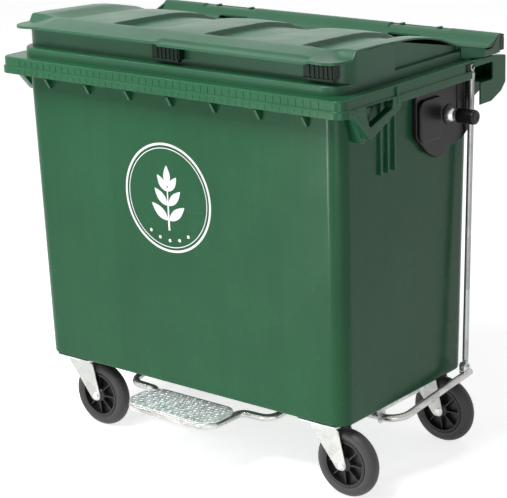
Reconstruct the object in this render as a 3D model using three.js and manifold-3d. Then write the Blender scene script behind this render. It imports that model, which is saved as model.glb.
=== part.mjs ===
// Wheeled waste container with a domed flap lid, four swivel castors, side trunnions and a foot pedal
// that lifts the lid through two rods. Millimetres, +Z up, +X to the right, front at -Y.
// The sizes below count y from the middle of the tub's floor; one group then moves everything so that
// the origin is the middle of the whole footprint, on the ground.
import * as THREE from 'three';
import { mergeVertices } from 'three/addons/utils/BufferGeometryUtils.js';
import Module from 'manifold-3d';

const wasm = await Module();
wasm.setup();

// Clearances and facets
const seatGap = 0.3;
const overrun = 40;
const fuse = 1;
const sliver = 0.05;
const cornerFacets = 5;
const roundFacets = 20;
const wheelFacets = 24;
const smallFacets = 8;
const tubeFacets = 8;
const sleeveFacets = 32;

// Castor wheels, which set how high the tub stands
const wheelRadius = 100;
const castorHeadRoom = 21;

// Tub
const tubHalfTop = 580;
const tubSideDraft = 14;
const tubHalfBottom = tubHalfTop - tubSideDraft;
const tubDepth = 633;
const tubRearExtra = 21;
const tubFrontTop = (tubDepth - tubRearExtra) / 2;
const tubFrontDraft = 8.5;
const tubFrontBottom = tubFrontTop - tubFrontDraft;
const tubRearTop = tubDepth - tubFrontTop;
const tubRearDraft = 21.5;
const tubRearBottom = tubRearTop - tubRearDraft;
const tubCornerRadius = 45;
const tubWall = 5;
const tubFloor = 6;
const tubBottomZ = wheelRadius * 2 + castorHeadRoom;
const tubBottomRound = 9;

// Rim round the top of the tub, an upside-down channel
const tubHeight = 934;
const rimTopZ = tubBottomZ + tubHeight;
const rimHeight = 49;
const rimLedgeDrop = 27;
const rimLedgeStep = 5;
const rimSideReach = 50;
const rimFrontReach = 56;
const rimRearReach = 48;
const rimHalfWidth = tubHalfTop + rimSideReach;
const rimFront = tubFrontTop + rimFrontReach;
const rimRear = tubRearTop + rimRearReach;
const rimCornerRadius = 34;
const rimWall = 5;

// Gussets under the rim and ribs on the side walls
const gussetPitch = 158;
const gussetPairs = 3;
const gussetThick = 9;
const gussetDrop = 54;
const sideRibPitch = 32.5;
const sideRibSetback = 177;
const sideRibFirstY = sideRibSetback - tubFrontTop;
const sideRibCount = 3;
const sideRibWidth = 8;
const sideRibProud = 6;
const sideRibLength = 200;

// Front corner handles, hanging from the side rim
const handleSetback = 58;
const handleLength = 209;
const handleFootSetback = 66;
const handleFrontY = handleSetback - rimFront;
const handleRearY = handleFrontY + handleLength;
const handleFootY = handleFrontY + handleFootSetback;
const handleDrop = 76;
const handleBar = 26;
const handleDepth = 25;
const handleGussetWidth = 72;
const handleGussetDrop = 118;

// Rear corner blocks with their hand windows
const blockLength = 165;
const blockRearReach = 52;
const blockWidth = 73;
const blockRearY = rimRear + blockRearReach;
const blockFrontY = blockRearY - blockLength;
const blockInnerX = rimHalfWidth - blockWidth;
const blockDrop = 131;
const blockFootLength = 89;
const blockChamferRise = 20;
const blockHeelRise = 44;
const blockFallLength = 66;
const blockFallDrop = 9;
const windowDepth = 95;
const windowTopDrop = 17;
const windowHeight = 51;
const rodNotch = 31;
const sillThick = 6;
const sillSetback = 50;

// Lid
const lidSeatStep = 26;
const lidWall = 5;
const traySideInset = 43;
const trayFrontInset = 40;
const trayRearInset = 27;
const trayHalfWidth = rimHalfWidth - traySideInset;
const trayFront = rimFront - trayFrontInset;
const trayRear = rimRear - trayRearInset;
const trayCornerRadius = 62;
const wallSideInset = 40;
const wallFrontInset = 72;
const wallFront = rimFront - wallFrontInset;
const wallHalfWidth = rimHalfWidth - wallSideInset;
const wallCornerRadius = 56;
const panelInset = 16;
const panelSetback = 226;
const panelStartY = panelSetback - wallFront;
const wingLead = 6;
const wingStartY = blockFrontY - wingLead;
const wingRunY = 56;
const lidRearInset = 10;
const lidRearY = blockRearY - lidRearInset;
const lipFrontInset = 17;
const lipFrontY = lipFrontInset - rimFront;
const lipOverhang = 4;
const lipHalfWidth = wallHalfWidth + lipOverhang;
const lipCornerRadius = 56;
const lipThick = 12;
const lipDepth = 145;
const lipRearY = lipFrontY + lipDepth;
const troughRise = 29;
const archRise = 84;
const barRise = 28;
const padPitchShare = 0.5763;
const padOffset = wallHalfWidth * padPitchShare;
const padHalfWidth = 80;
const padWallRun = 9;
const padCrown = 3;
const channelSink = 13;
const marginWidth = 48;
const wingHalfWidth = rimHalfWidth;
const lidSkirtLift = 12;
const wingLift = 3;
const gripDepth = 22;
const gripHeight = 42;
const gripWidth = 100;
const gripInnerX = -10;
const gripSideInset = 70;
const gripOuterX = wallHalfWidth - gripSideInset;

// Rows of the lid's roof from the lip to the rear bar: place along the lid, height above the trough,
// sink of the channels, and pad width, all as shares.
const roofRowShares = [
  [0, 0.786, 0, 1.03],
  [0.072, 0.929, 0, 1.03],
  [0.109, 0.988, 0, 1.03],
  [0.184, 1, 1, 1],
  [0.374, 0.917, 1, 0.94],
  [0.505, 0.833, 1, 0.88],
  [0.65, 0.583, 1, 0.8],
  [0.761, 0.226, 0.8, 0.74],
  [0.833, 0.071, 0.3, 0.7],
  [0.885, 0, 0, 0.7],
  [0.915, 0, 0, 0.7],
];
const barFrontShare = 0.966;

// Lid hinge
const hingeBehindRim = 20;
const hingeRise = 20;
const hingeY = rimRear + hingeBehindRim;
const hingeZ = rimTopZ + hingeRise;
const hingeSideInset = 277;
const hingeX = rimHalfWidth - hingeSideInset;
const hingePinRadius = 8;
const hingeBossRadius = 18.5;
const hingeEarRadius = 15;
const hingeEarWidth = 70;
const hingeBossWidth = 48;
const hingeSlotWidth = 84;
const hingeHeadThick = 5;
const hingeHeadRadius = 12;

// Trunnions
const trunnionSetback = 141;
const trunnionDrop = 140;
const trunnionY = tubRearTop - trunnionSetback;
const trunnionZ = rimTopZ - trunnionDrop;
const trunnionSleeveLength = 58.84;
const trunnionPlateThick = 15;
const trunnionPlateAhead = 160;
const trunnionPlateBehind = 118;
const trunnionPlateFront = trunnionY - trunnionPlateAhead;
const trunnionPlateRear = trunnionY + trunnionPlateBehind;
const trunnionPlateTopDrop = 4;
const trunnionPlateDepth = 202;
const trunnionPadThick = 10;
const trunnionPadWidth = 103;
const trunnionPadHeight = 120;
const trunnionPadGapY = 102.5;
const trunnionPadLift = 4;
const trunnionBoltRadius = 10;
const trunnionShoulderRadius = 18;
const trunnionShoulderLength = 32;
const trunnionCoreRadius = 13;
const trunnionSleeveRadius = 21;
const trunnionSleeveCap = 5;
const trunnionNutThick = 14;
const trunnionNutRadius = 20;
const trunnionWasherRadius = 32;
const trunnionWasherThick = 4;

// Castors
const castorSideInset = 97;
const castorFrontInset = 59.5;
const castorRearInset = 60.5;
const castorPivotX = tubHalfBottom - castorSideInset;
const castorPivotFront = tubFrontBottom - castorFrontInset;
const castorPivotRear = tubRearBottom - castorRearInset;
const tyreWidth = 46;
const tyreDepth = 30;
const tyreShoulder = 14;
const castorTrail = 67;
const topPlateHalfX = 70;
const topPlateHalfY = 58;
const topPlateCorner = 12;
const topPlateThick = 5;
const raceRadius = 37;
const raceHeight = 4.7;
const forkTopThick = 4;
const forkClear = 4;
const forkLegThick = 4;
const forkAxleRadius = 17;
const forkTopFront = 42;
const forkTopRear = 44;
const forkLegRear = 60;
const kingpinRadius = 8;
const kingpinHeadRadius = 11;
const kingpinHeadThick = 4;
const kingpinFootRadius = 13;
const kingpinFootThick = 7;
const studOffsetX = 54;
const studOffsetY = 29;
const studRadius = 4.5;
const studNutRadius = 8;
const studNutThick = 6;
const studPlateHalfX = 62;
const studPlateHalfY = 37;
const studPlateCorner = 8;
const studPlateThick = 3;
const axleRadius = 6;
const axleHeadRadius = 11;
const axleHeadThick = 7;
const hubBossRadius = 21;
const hubRimThick = 8;
const hubWebThick = 8;
const hubSpokes = 8;
const hubSpokeThick = 5;
const hubSpokeInset = 8;

// Foot pedal and its tubes
const pedalPivotSetback = 205.5;
const pedalPivotDrop = 33;
const pedalPivotY = pedalPivotSetback - tubFrontBottom;
const pedalPivotZ = tubBottomZ - pedalPivotDrop;
const tubeRadius = 11;
const armSideInset = 24;
const armX = rimHalfWidth - armSideInset;
const armBend = 55;
const rodTopSetback = 110;
const rodLean = 35;
const armPastClevis = 27;
const rodTopY = hingeY - rodTopSetback;
const armClevisY = rodTopY - rodLean;
const armEndY = armClevisY + armPastClevis;
const armEndRise = 35;
const loopCastorGap = 6;
const loopFlare = 15;
const loopStep = 110;
const loopMountX = castorPivotX - castorTrail - wheelRadius - tubeRadius - loopCastorGap;
const loopOuterX = loopMountX - loopFlare;
const loopHalfWidth = loopOuterX - loopStep;
const loopProud = 31;
const loopDepth = 146;
const loopFrontY = -rimFront - loopProud;
const loopRearY = loopFrontY + loopDepth;
const loopDrop = 23;
const loopBend = 46;
const loopSmallBend = 26;
const pedalThick = 4;
const pedalEdge = 9;
const bearingOffset = 60;
const bearingX = loopMountX + bearingOffset;
const bearingWidth = 50;
const bearingDepth = 60;
const bearingBelow = 17;
const bearingChamfer = 14;
const railSideInset = 17;
const railOuterX = tubHalfBottom - railSideInset;
const railWidth = 30;
const railThick = 3;
const railLead = 20;
const railCastorGap = 57;
const railFrontY = pedalPivotY - railLead;
const railRearY = castorPivotRear - topPlateHalfY - railCastorGap;
const railWeb = 17;
const railEarHalf = 17;

// Lift rods
const rodRadius = 9;
const rodEyeRadius = 12;
const rodEyeThick = 12;
const rodTopEyeRadius = 11;
const rodTopEyeThick = 7;
const rodPinRadius = 5;
const rodHeadFlat = 14;
const rodFootFlat = 20;
const clevisThick = 3;
const clevisBase = 3;
const clevisHalf = 14;
const rodTopDrop = 43;
const rodTopZ = hingeZ - rodTopDrop;
const lugOffset = 18;
const lugInnerX = armX - lugOffset;
const lugThick = 8;
const lugHalf = 14;
const lugPinRelief = 1.5;
const lugPinHead = 3;
const slotInward = 23;
const slotOutward = 12;
const slotAhead = 32;
const slotBehind = 60;
const slotInnerX = armX - slotInward;
const slotOuterX = armX + slotOutward;
const slotFrontY = rodTopY - slotAhead;
const slotRearY = rodTopY + slotBehind;

const colours = {
  green: new THREE.MeshStandardMaterial({ color: 0x3a6b4c, roughness: 0.45, metalness: 0 }),
  lidGreen: new THREE.MeshStandardMaterial({ color: 0x3c7050, roughness: 0.4, metalness: 0 }),
  blackPlastic: new THREE.MeshStandardMaterial({ color: 0x242224, roughness: 0.5, metalness: 0 }),
  tyre: new THREE.MeshStandardMaterial({ color: 0x2c2c2c, roughness: 0.75, metalness: 0 }),
  zinc: new THREE.MeshStandardMaterial({ color: 0xc6cac9, roughness: 0.35, metalness: 0.9 }),
  steel: new THREE.MeshStandardMaterial({ color: 0xd8dada, roughness: 0.25, metalness: 1 }),
};

// A closed solid from any closed geometry: shared vertices merged, empty triangles dropped, faces out.
function solid(geometry) {
  const bare = new THREE.BufferGeometry();
  bare.setAttribute('position', geometry.getAttribute('position'));
  if (geometry.index) bare.setIndex(geometry.index);
  const merged = mergeVertices(bare);
  const place = merged.getAttribute('position');
  const corners = [];
  const index = merged.index.array;
  const a = new THREE.Vector3();
  const b = new THREE.Vector3();
  const c = new THREE.Vector3();
  let volume = 0;
  for (let i = 0; i < index.length; i += 3) {
    const [p, q, r] = [index[i], index[i + 1], index[i + 2]];
    if (p === q || q === r || r === p) continue;
    corners.push(p, q, r);
    a.fromBufferAttribute(place, p);
    b.fromBufferAttribute(place, q);
    c.fromBufferAttribute(place, r);
    volume += a.dot(b.cross(c));
  }
  if (volume < 0) corners.reverse();
  return fromArrays(Float32Array.from(place.array), Uint32Array.from(corners));
}

function fromArrays(vertProperties, triVerts) {
  return new wasm.Manifold(new wasm.Mesh({ numProp: 3, vertProperties, triVerts }));
}

// The same solid on the other side of the x = 0 plane.
function mirrored(shape) {
  const mesh = shape.getMesh();
  const vertices = Float32Array.from(mesh.vertProperties);
  for (let i = 0; i < vertices.length; i += 3) vertices[i] = -vertices[i];
  return fromArrays(vertices, Uint32Array.from(mesh.triVerts).reverse());
}

function joined(shapes) {
  return shapes.reduce((whole, shape) => whole.add(shape));
}

function cut(shape, tools) {
  return tools.reduce((rest, tool) => rest.subtract(tool), shape);
}

function box(xRange, yRange, zRange) {
  const size = [xRange, yRange, zRange].map(([from, to]) => to - from);
  const middle = [xRange, yRange, zRange].map(([from, to]) => (from + to) / 2);
  return solid(new THREE.BoxGeometry(...size).translate(...middle));
}

// An outline extruded along z, x or y. The outline's two numbers are (x, y), (y, z) or (x, z).
function prism(outline, axis, from, to) {
  const shape = new THREE.Shape(outline.map(([u, v]) => new THREE.Vector2(u, v)));
  const geometry = new THREE.ExtrudeGeometry(shape, { depth: to - from, bevelEnabled: false });
  geometry.translate(0, 0, from);
  const place = geometry.getAttribute('position');
  for (let i = 0; i < place.count; i += 1) {
    const [u, v, w] = [place.getX(i), place.getY(i), place.getZ(i)];
    if (axis === 'x') place.setXYZ(i, w, u, v);
    if (axis === 'y') place.setXYZ(i, u, w, v);
  }
  return solid(geometry);
}

// A turned solid about a line along the given axis through a centre; profile is [radius, place] pairs.
function turned(profile, axis, centre, facets = roundFacets) {
  const points = profile.map(([radius, along]) => new THREE.Vector2(radius, along));
  const geometry = new THREE.LatheGeometry(points, facets);
  if (axis === 'z') geometry.rotateX(Math.PI / 2);
  if (axis === 'x') geometry.rotateZ(-Math.PI / 2);
  return solid(geometry.translate(...centre));
}

function rod(radius, axis, from, to, centre, facets = roundFacets) {
  return turned([[0, from], [radius, from], [radius, to], [0, to]], axis, centre, facets);
}

// A tool for a round hole that clears a pin of the given radius, facets and all.
function bore(radius, axis, from, to, centre, facets = smallFacets) {
  return rod((radius + seatGap) / Math.cos(Math.PI / facets), axis, from, to, centre, facets);
}

// An outline whose corners [x, y, radius] are rounded by arcs.
function rounded(corners, facets = cornerFacets) {
  const points = [];
  corners.forEach(([x, y, radius], i) => {
    const before = corners[(i + corners.length - 1) % corners.length];
    const after = corners[(i + 1) % corners.length];
    if (!radius) {
      points.push([x, y]);
      return;
    }
    const corner = new THREE.Vector2(x, y);
    const back = new THREE.Vector2(before[0], before[1]).sub(corner).normalize();
    const ahead = new THREE.Vector2(after[0], after[1]).sub(corner).normalize();
    const half = Math.acos(THREE.MathUtils.clamp(back.dot(ahead), -1, 1)) / 2;
    const centre = back.clone().add(ahead).normalize();
    centre.multiplyScalar(radius / Math.sin(half)).add(corner);
    const start = back.multiplyScalar(radius / Math.tan(half)).add(corner).sub(centre);
    const end = ahead.multiplyScalar(radius / Math.tan(half)).add(corner).sub(centre);
    const sweep = Math.atan2(start.cross(end), start.dot(end));
    for (let k = 0; k <= facets; k += 1) {
      const arm = start.clone().rotateAround(new THREE.Vector2(), (sweep * k) / facets);
      points.push([centre.x + arm.x, centre.y + arm.y]);
    }
  });
  return points;
}

function roundedRectangle(halfWidth, front, rear, radius, facets = cornerFacets) {
  return rounded([
    [-halfWidth, -front, radius],
    [halfWidth, -front, radius],
    [halfWidth, rear, radius],
    [-halfWidth, rear, radius],
  ], facets);
}

// A solid through a stack of rings with equal counts of [x, y, z] points, closed by its end rings.
function loft(rings) {
  const count = rings[0].length;
  const positions = rings.flat(2);
  const index = [];
  for (let r = 0; r + 1 < rings.length; r += 1) {
    for (let i = 0; i < count; i += 1) {
      const j = (i + 1) % count;
      const [a, b] = [r * count + i, r * count + j];
      index.push(a, b, b + count, a, b + count, a + count);
    }
  }
  const last = (rings.length - 1) * count;
  for (let i = 1; i + 1 < count; i += 1) {
    index.push(0, i + 1, i, last, last + i, last + i + 1);
  }
  const geometry = new THREE.BufferGeometry();
  geometry.setAttribute('position', new THREE.Float32BufferAttribute(positions, 3));
  geometry.setIndex(index);
  return solid(geometry);
}

// A round bar along straight runs whose corners [x, y, z, bend radius] are bent to arcs.
function bentTube(corners, radius, facets = tubeFacets) {
  const places = corners.map(([x, y, z]) => new THREE.Vector3(x, y, z));
  const path = [];
  corners.forEach(([, , , bend], i) => {
    if (!bend) {
      path.push(places[i]);
      return;
    }
    const back = places[i - 1].clone().sub(places[i]).normalize();
    const ahead = places[i + 1].clone().sub(places[i]).normalize();
    const half = back.angleTo(ahead) / 2;
    const reach = bend / Math.tan(half);
    const centre = back.clone().add(ahead).normalize();
    centre.multiplyScalar(bend / Math.sin(half)).add(places[i]);
    const start = back.multiplyScalar(reach).add(places[i]).sub(centre);
    const end = ahead.multiplyScalar(reach).add(places[i]).sub(centre);
    const turn = new THREE.Vector3().crossVectors(start, end).normalize();
    const sweep = start.angleTo(end);
    for (let k = 0; k <= cornerFacets; k += 1) {
      const arm = start.clone().applyAxisAngle(turn, (sweep * k) / cornerFacets);
      path.push(arm.add(centre));
    }
  });
  let side = new THREE.Vector3(0, 0, 1);
  const rings = path.map((place, i) => {
    const before = path[Math.max(i - 1, 0)];
    const after = path[Math.min(i + 1, path.length - 1)];
    const along = after.clone().sub(before).normalize();
    side = side.clone().addScaledVector(along, -side.dot(along)).normalize();
    const across = new THREE.Vector3().crossVectors(along, side);
    const ring = [];
    for (let k = 0; k < facets; k += 1) {
      const angle = (2 * Math.PI * k) / facets;
      const point = place.clone();
      point.addScaledVector(side, radius * Math.cos(angle));
      point.addScaledVector(across, radius * Math.sin(angle));
      ring.push(point.toArray());
    }
    return ring;
  });
  return loft(rings);
}

// The solid between a grid of [x, y, z] points and a flat base.
function under(rows, base) {
  const columns = rows[0].length;
  const top = rows.flat();
  const bottom = top.map(([x, y]) => [x, y, base]);
  const index = [];
  const lower = top.length;
  const quad = (a, b, c, d) => index.push(a, b, c, a, c, d);
  for (let r = 0; r + 1 < rows.length; r += 1) {
    for (let i = 0; i + 1 < columns; i += 1) {
      const a = r * columns + i;
      quad(a, a + 1, a + 1 + columns, a + columns);
      quad(lower + a, lower + a + columns, lower + a + 1 + columns, lower + a + 1);
    }
  }
  for (let i = 0; i + 1 < columns; i += 1) {
    const back = (rows.length - 1) * columns + i;
    quad(i + 1, i, lower + i, lower + i + 1);
    quad(back, back + 1, lower + back + 1, lower + back);
  }
  for (let r = 0; r + 1 < rows.length; r += 1) {
    const left = r * columns;
    const right = left + columns - 1;
    quad(left, left + columns, lower + left + columns, lower + left);
    quad(right + columns, right, lower + right, lower + right + columns);
  }
  const geometry = new THREE.BufferGeometry();
  const positions = top.concat(bottom).flat();
  geometry.setAttribute('position', new THREE.Float32BufferAttribute(positions, 3));
  geometry.setIndex(index);
  return solid(geometry);
}

// Places along the tub's drafted walls
const rimBottomZ = rimTopZ - rimHeight;
const rimFlangeZ = rimTopZ - rimWall;
function draft(bottom, top, z) {
  return bottom + ((top - bottom) * (z - tubBottomZ)) / (rimBottomZ - tubBottomZ);
}
function sideWallX(z) {
  return draft(tubHalfBottom, tubHalfTop, z);
}
function tubRing(z, inset) {
  const outline = roundedRectangle(
    sideWallX(z) - inset,
    draft(tubFrontBottom, tubFrontTop, z) - inset,
    draft(tubRearBottom, tubRearTop, z) - inset,
    tubCornerRadius - inset,
  );
  return outline.map(([x, y]) => [x, y, z]);
}
function tubOuter(grow = 0) {
  const foot = tubRing(tubBottomZ, tubBottomRound - grow).map(([x, y]) => [x, y, tubBottomZ - grow]);
  return loft([foot, tubRing(tubBottomZ + tubBottomRound, -grow), tubRing(rimFlangeZ, -grow)]);
}

function castorPlaces() {
  return [
    ['front_right', 1, -1],
    ['front_left', -1, -1],
    ['rear_right', 1, 1],
    ['rear_left', -1, 1],
  ].map(([name, sideX, sideY]) => {
    const y = sideY < 0 ? -castorPivotFront : castorPivotRear;
    return { name, x: sideX * castorPivotX, y };
  });
}

function studPlaces() {
  const places = [];
  for (const sideX of [-1, 1]) {
    for (const sideY of [-1, 1]) places.push([sideX * studOffsetX, sideY * studOffsetY]);
  }
  return places;
}

// The rim: a skirt in two bands, the lower one proud, under a flat flange, with open rear blocks.
function rimShell() {
  const ledgeZ = rimTopZ - rimLedgeDrop;
  const band = (inset, from, to) => prism(
    roundedRectangle(rimHalfWidth - inset, rimFront - inset, rimRear - inset, rimCornerRadius),
    'z', from, to,
  );
  const outer = band(0, rimBottomZ, ledgeZ).add(band(rimLedgeStep, ledgeZ - fuse, rimTopZ));
  const hollow = band(rimWall, rimBottomZ - overrun, ledgeZ - rimWall)
    .add(band(rimLedgeStep + rimWall, rimBottomZ - overrun, rimFlangeZ));
  const blocks = [];
  const blockHollows = [];
  const blockBottomZ = rimTopZ - blockDrop;
  const chamferZ = blockBottomZ + blockChamferRise;
  const heelZ = blockBottomZ + blockHeelRise;
  const fallZ = rimTopZ - blockFallDrop;
  const fallY = blockRearY - blockFallLength;
  const blockOutline = [
    [blockFrontY, rimTopZ],
    [blockFrontY, blockBottomZ],
    [blockFrontY + blockFootLength, blockBottomZ],
    [blockRearY - (heelZ - chamferZ), chamferZ],
    [blockRearY, heelZ],
    [blockRearY, fallZ],
    [fallY, rimTopZ],
  ];
  const block = prism(blockOutline, 'x', blockInnerX, rimHalfWidth);
  const blockHollow = prism([
    [blockFrontY - overrun, blockBottomZ - overrun],
    [blockRearY - rimWall, blockBottomZ - overrun],
    [blockRearY - rimWall, fallZ - rimWall],
    [fallY - rimWall, rimFlangeZ],
    [blockFrontY - overrun, rimFlangeZ],
  ], 'x', blockInnerX + rimWall, rimHalfWidth - rimWall);
  blocks.push(block, mirrored(block));
  blockHollows.push(blockHollow, mirrored(blockHollow));
  return cut(joined([outer, ...blocks]), [hollow, ...blockHollows]);
}

// Webs across the channel between the tub's walls and the rim's skirt, front and rear.
function gussets() {
  const webs = [];
  for (let i = -gussetPairs; i <= gussetPairs; i += 1) {
    const from = i * gussetPitch - gussetThick / 2;
    const to = from + gussetThick;
    const skirtFront = -rimFront + rimWall / 2;
    const skirtRear = rimRear - rimWall / 2;
    const ledgeZ = rimTopZ - rimLedgeDrop - rimWall / 2;
    const bottom = rimBottomZ - gussetDrop;
    webs.push(prism([
      [-tubFrontTop + fuse, rimFlangeZ + fuse],
      [skirtFront + rimLedgeStep, rimFlangeZ + fuse],
      [skirtFront + rimLedgeStep, ledgeZ],
      [skirtFront, ledgeZ],
      [skirtFront, rimBottomZ + fuse],
      [-tubFrontTop + fuse, bottom],
    ], 'x', from, to));
    webs.push(prism([
      [tubRearTop - fuse, rimFlangeZ + fuse],
      [skirtRear - rimLedgeStep, rimFlangeZ + fuse],
      [skirtRear - rimLedgeStep, ledgeZ],
      [skirtRear, ledgeZ],
      [skirtRear, rimBottomZ + fuse],
      [tubRearTop - fuse, bottom],
    ], 'x', from, to));
  }
  return webs;
}

// One side's ribs, front handle with its gusset, window sill and hinge ear.
function sideFeatures() {
  const features = [];
  for (let i = 0; i < sideRibCount; i += 1) {
    const y = sideRibFirstY + i * sideRibPitch;
    features.push(box(
      [tubHalfBottom, tubHalfTop + sideRibProud],
      [y - sideRibWidth / 2, y + sideRibWidth / 2],
      [rimBottomZ - sideRibLength, rimFlangeZ + fuse],
    ));
  }
  const footZ = rimBottomZ - handleDrop;
  const handle = rounded([
    [handleFrontY, rimBottomZ + fuse, 0],
    [handleFrontY, rimBottomZ - fuse, 0],
    [handleFootY, footZ, handleBar / 2],
    [handleRearY, rimBottomZ - handleBar / 2, 0],
    [handleRearY, rimBottomZ + fuse, 0],
  ]);
  features.push(prism(handle, 'x', rimHalfWidth - handleDepth, rimHalfWidth));
  features.push(prism([
    [handleFootY - handleGussetWidth / 2, rimBottomZ + fuse],
    [handleFootY, rimBottomZ - handleGussetDrop],
    [handleFootY + handleGussetWidth / 2, rimBottomZ + fuse],
  ], 'x', tubHalfTop - tubWall / 2, rimHalfWidth - handleDepth + fuse));
  const sillTop = rimTopZ - windowTopDrop - windowHeight;
  features.push(box(
    [blockInnerX + fuse, rimHalfWidth - fuse],
    [blockFrontY + sillSetback, blockRearY - fuse],
    [sillTop - sillThick, sillTop],
  ));
  const ear = prism([
    [rimRear - rimWall * 4, rimFlangeZ + fuse],
    [rimRear - rimWall * 3, rimTopZ + rimWall],
    [hingeY - hingeEarRadius * 0.7, hingeZ + hingeEarRadius * 0.7],
    [hingeY + hingeEarRadius * 0.7, hingeZ - hingeEarRadius * 0.7],
    [rimRear - fuse, rimBottomZ + rimWall],
  ], 'x', hingeX - hingeEarWidth / 2, hingeX + hingeEarWidth / 2);
  const boss = rod(
    hingeEarRadius, 'x', -hingeEarWidth / 2, hingeEarWidth / 2, [hingeX, hingeY, hingeZ],
  );
  features.push(ear, boss);
  return features;
}

// One side's openings: handle gap, window, rod notch, rod slot, hinge hole and trunnion hole.
function sideOpenings() {
  const through = [rimHalfWidth - handleDepth - fuse, rimHalfWidth + overrun];
  const footZ = rimBottomZ - handleDrop;
  const gap = rounded([
    [handleFrontY + handleBar * 1.7, rimBottomZ + handleBar * 0.7, handleBar * 0.2],
    [handleFootY - handleBar * 0.05, footZ + handleBar * 1.35, handleBar * 0.24],
    [handleRearY - handleBar * 1.6, rimBottomZ - handleBar * 0.3, handleBar * 0.2],
    [handleRearY - handleBar * 1.5, rimBottomZ + handleBar * 0.7, handleBar * 0.2],
  ], 3);
  const windowTop = rimTopZ - windowTopDrop;
  const windowBottom = windowTop - windowHeight;
  const outside = [rimHalfWidth - rimLedgeStep - rimWall - fuse, rimHalfWidth + overrun];
  return [
    prism(gap, 'x', ...through),
    box(outside, [blockFrontY - fuse, blockFrontY + windowDepth], [windowBottom, windowTop]),
    box(outside, [blockFrontY - fuse, blockFrontY + rodNotch], [windowBottom - overrun * 2, windowTop]),
    box([slotInnerX, slotOuterX], [slotFrontY, slotRearY], [rimFlangeZ - fuse, rimTopZ + overrun]),
    bore(hingePinRadius, 'x', -hingeEarWidth, hingeEarWidth, [hingeX, hingeY, hingeZ]),
    bore(trunnionBoltRadius, 'x', -overrun, overrun, [tubHalfTop, trunnionY, trunnionZ]),
  ];
}

function bodyTub() {
  const floorTop = tubBottomZ + tubFloor;
  const inside = loft([
    tubRing(floorTop, tubWall + tubWall).map(([x, y]) => [x, y, floorTop]),
    tubRing(floorTop + tubWall, tubWall),
    tubRing(rimTopZ + overrun, tubWall),
  ]);
  const right = sideFeatures();
  const openings = sideOpenings();
  const holes = castorPlaces().flatMap(({ x, y }) => studPlaces().map(([dx, dy]) => bore(
    studRadius, 'z', tubBottomZ - fuse, floorTop + fuse, [x + dx, y + dy, 0],
  )));
  const shell = joined([rimShell(), tubOuter(), ...gussets(), ...right, ...right.map(mirrored)]);
  return cut(shell, [inside, ...openings, ...openings.map(mirrored), ...holes]);
}

// Lid roof: rows run across the lid, each with the pads, channels and margins of its place.
const lidSeatZ = rimTopZ + seatGap;
const trayTopZ = rimTopZ + lidSeatStep;
const troughZ = rimTopZ + troughRise;
const barTopZ = troughZ + barRise;
const lidSpan = lidRearY - lipFrontY;
const roofReach = wingHalfWidth + overrun;
function roofRow(y, z, sinkShare, padShare) {
  const sink = channelSink * sinkShare;
  const crown = padCrown * sinkShare;
  const pad = padHalfWidth * padShare;
  const half = [
    [0, 0],
    [pad, -crown],
    [pad + padWallRun, -sink],
    [padOffset - pad - padWallRun, -sink],
    [padOffset - pad, -crown],
    [padOffset, 0],
    [padOffset + pad, -crown],
    [padOffset + pad + padWallRun, -sink],
    [wallHalfWidth - marginWidth, 0],
    [roofReach, 0],
  ];
  const left = half.slice(1).reverse().map(([x, dz]) => [-x, y, z + dz]);
  return left.concat(half.map(([x, dz]) => [x, y, z + dz]));
}
function roofRows(lower) {
  const rows = roofRowShares.map(([yShare, zShare, sinkShare, padShare]) => roofRow(
    lipFrontY + lidSpan * yShare, troughZ + archRise * zShare - lower, sinkShare, padShare,
  ));
  const lastPad = roofRowShares.at(-1)[3];
  rows.unshift(roofRow(lipFrontY - overrun, rows[0][0][2], 0, roofRowShares[0][3]));
  rows.push(roofRow(lipFrontY + lidSpan * barFrontShare, barTopZ - lower, 0, lastPad));
  rows.push(roofRow(lidRearY + overrun, barTopZ - lower, 0, lastPad));
  return rows;
}
function roofBlock(lower = 0) {
  return under(roofRows(lower), rimTopZ - overrun);
}

// Plan of the lid's upper walls: rounded front corners, side panels set in behind them.
function wallPlan(inset) {
  const right = [
    [wallHalfWidth - inset, -wallFront + inset, wallCornerRadius - inset],
    [wallHalfWidth - inset, panelStartY - inset, 0],
    [wallHalfWidth - panelInset - inset, panelStartY - inset, 0],
    [wallHalfWidth - panelInset - inset, trayRear, 0],
  ];
  const left = right.map(([x, y, radius]) => [-x, y, radius]).reverse();
  return rounded(left.concat(right));
}
// Plan of the lid's rear part, which widens to the rear blocks.
function rearPlan(inset) {
  const right = [
    [wallHalfWidth - panelInset - inset, wingStartY + inset, 0],
    [wallHalfWidth - inset, wingStartY + inset, 0],
    [wingHalfWidth - inset, wingStartY + wingRunY + inset, 0],
    [wingHalfWidth - inset, lidRearY - inset, 0],
  ];
  const left = right.map(([x, y, radius]) => [-x, y, radius]).reverse();
  return rounded(left.concat(right));
}

function lidLug() {
  const lug = prism([
    [rodTopY - lugHalf, hingeZ],
    [rodTopY - lugHalf, rodTopZ - lugHalf / 2],
    [rodTopY - lugHalf / 2, rodTopZ - lugHalf],
    [rodTopY + lugHalf / 2, rodTopZ - lugHalf],
    [rodTopY + lugHalf, rodTopZ - lugHalf / 2],
    [rodTopY + lugHalf, hingeZ],
  ], 'x', lugInnerX, lugInnerX + lugThick);
  return lug.subtract(bore(
    rodPinRadius, 'x', -lugThick, lugThick * 2, [lugInnerX, rodTopY, rodTopZ],
  ));
}

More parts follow.
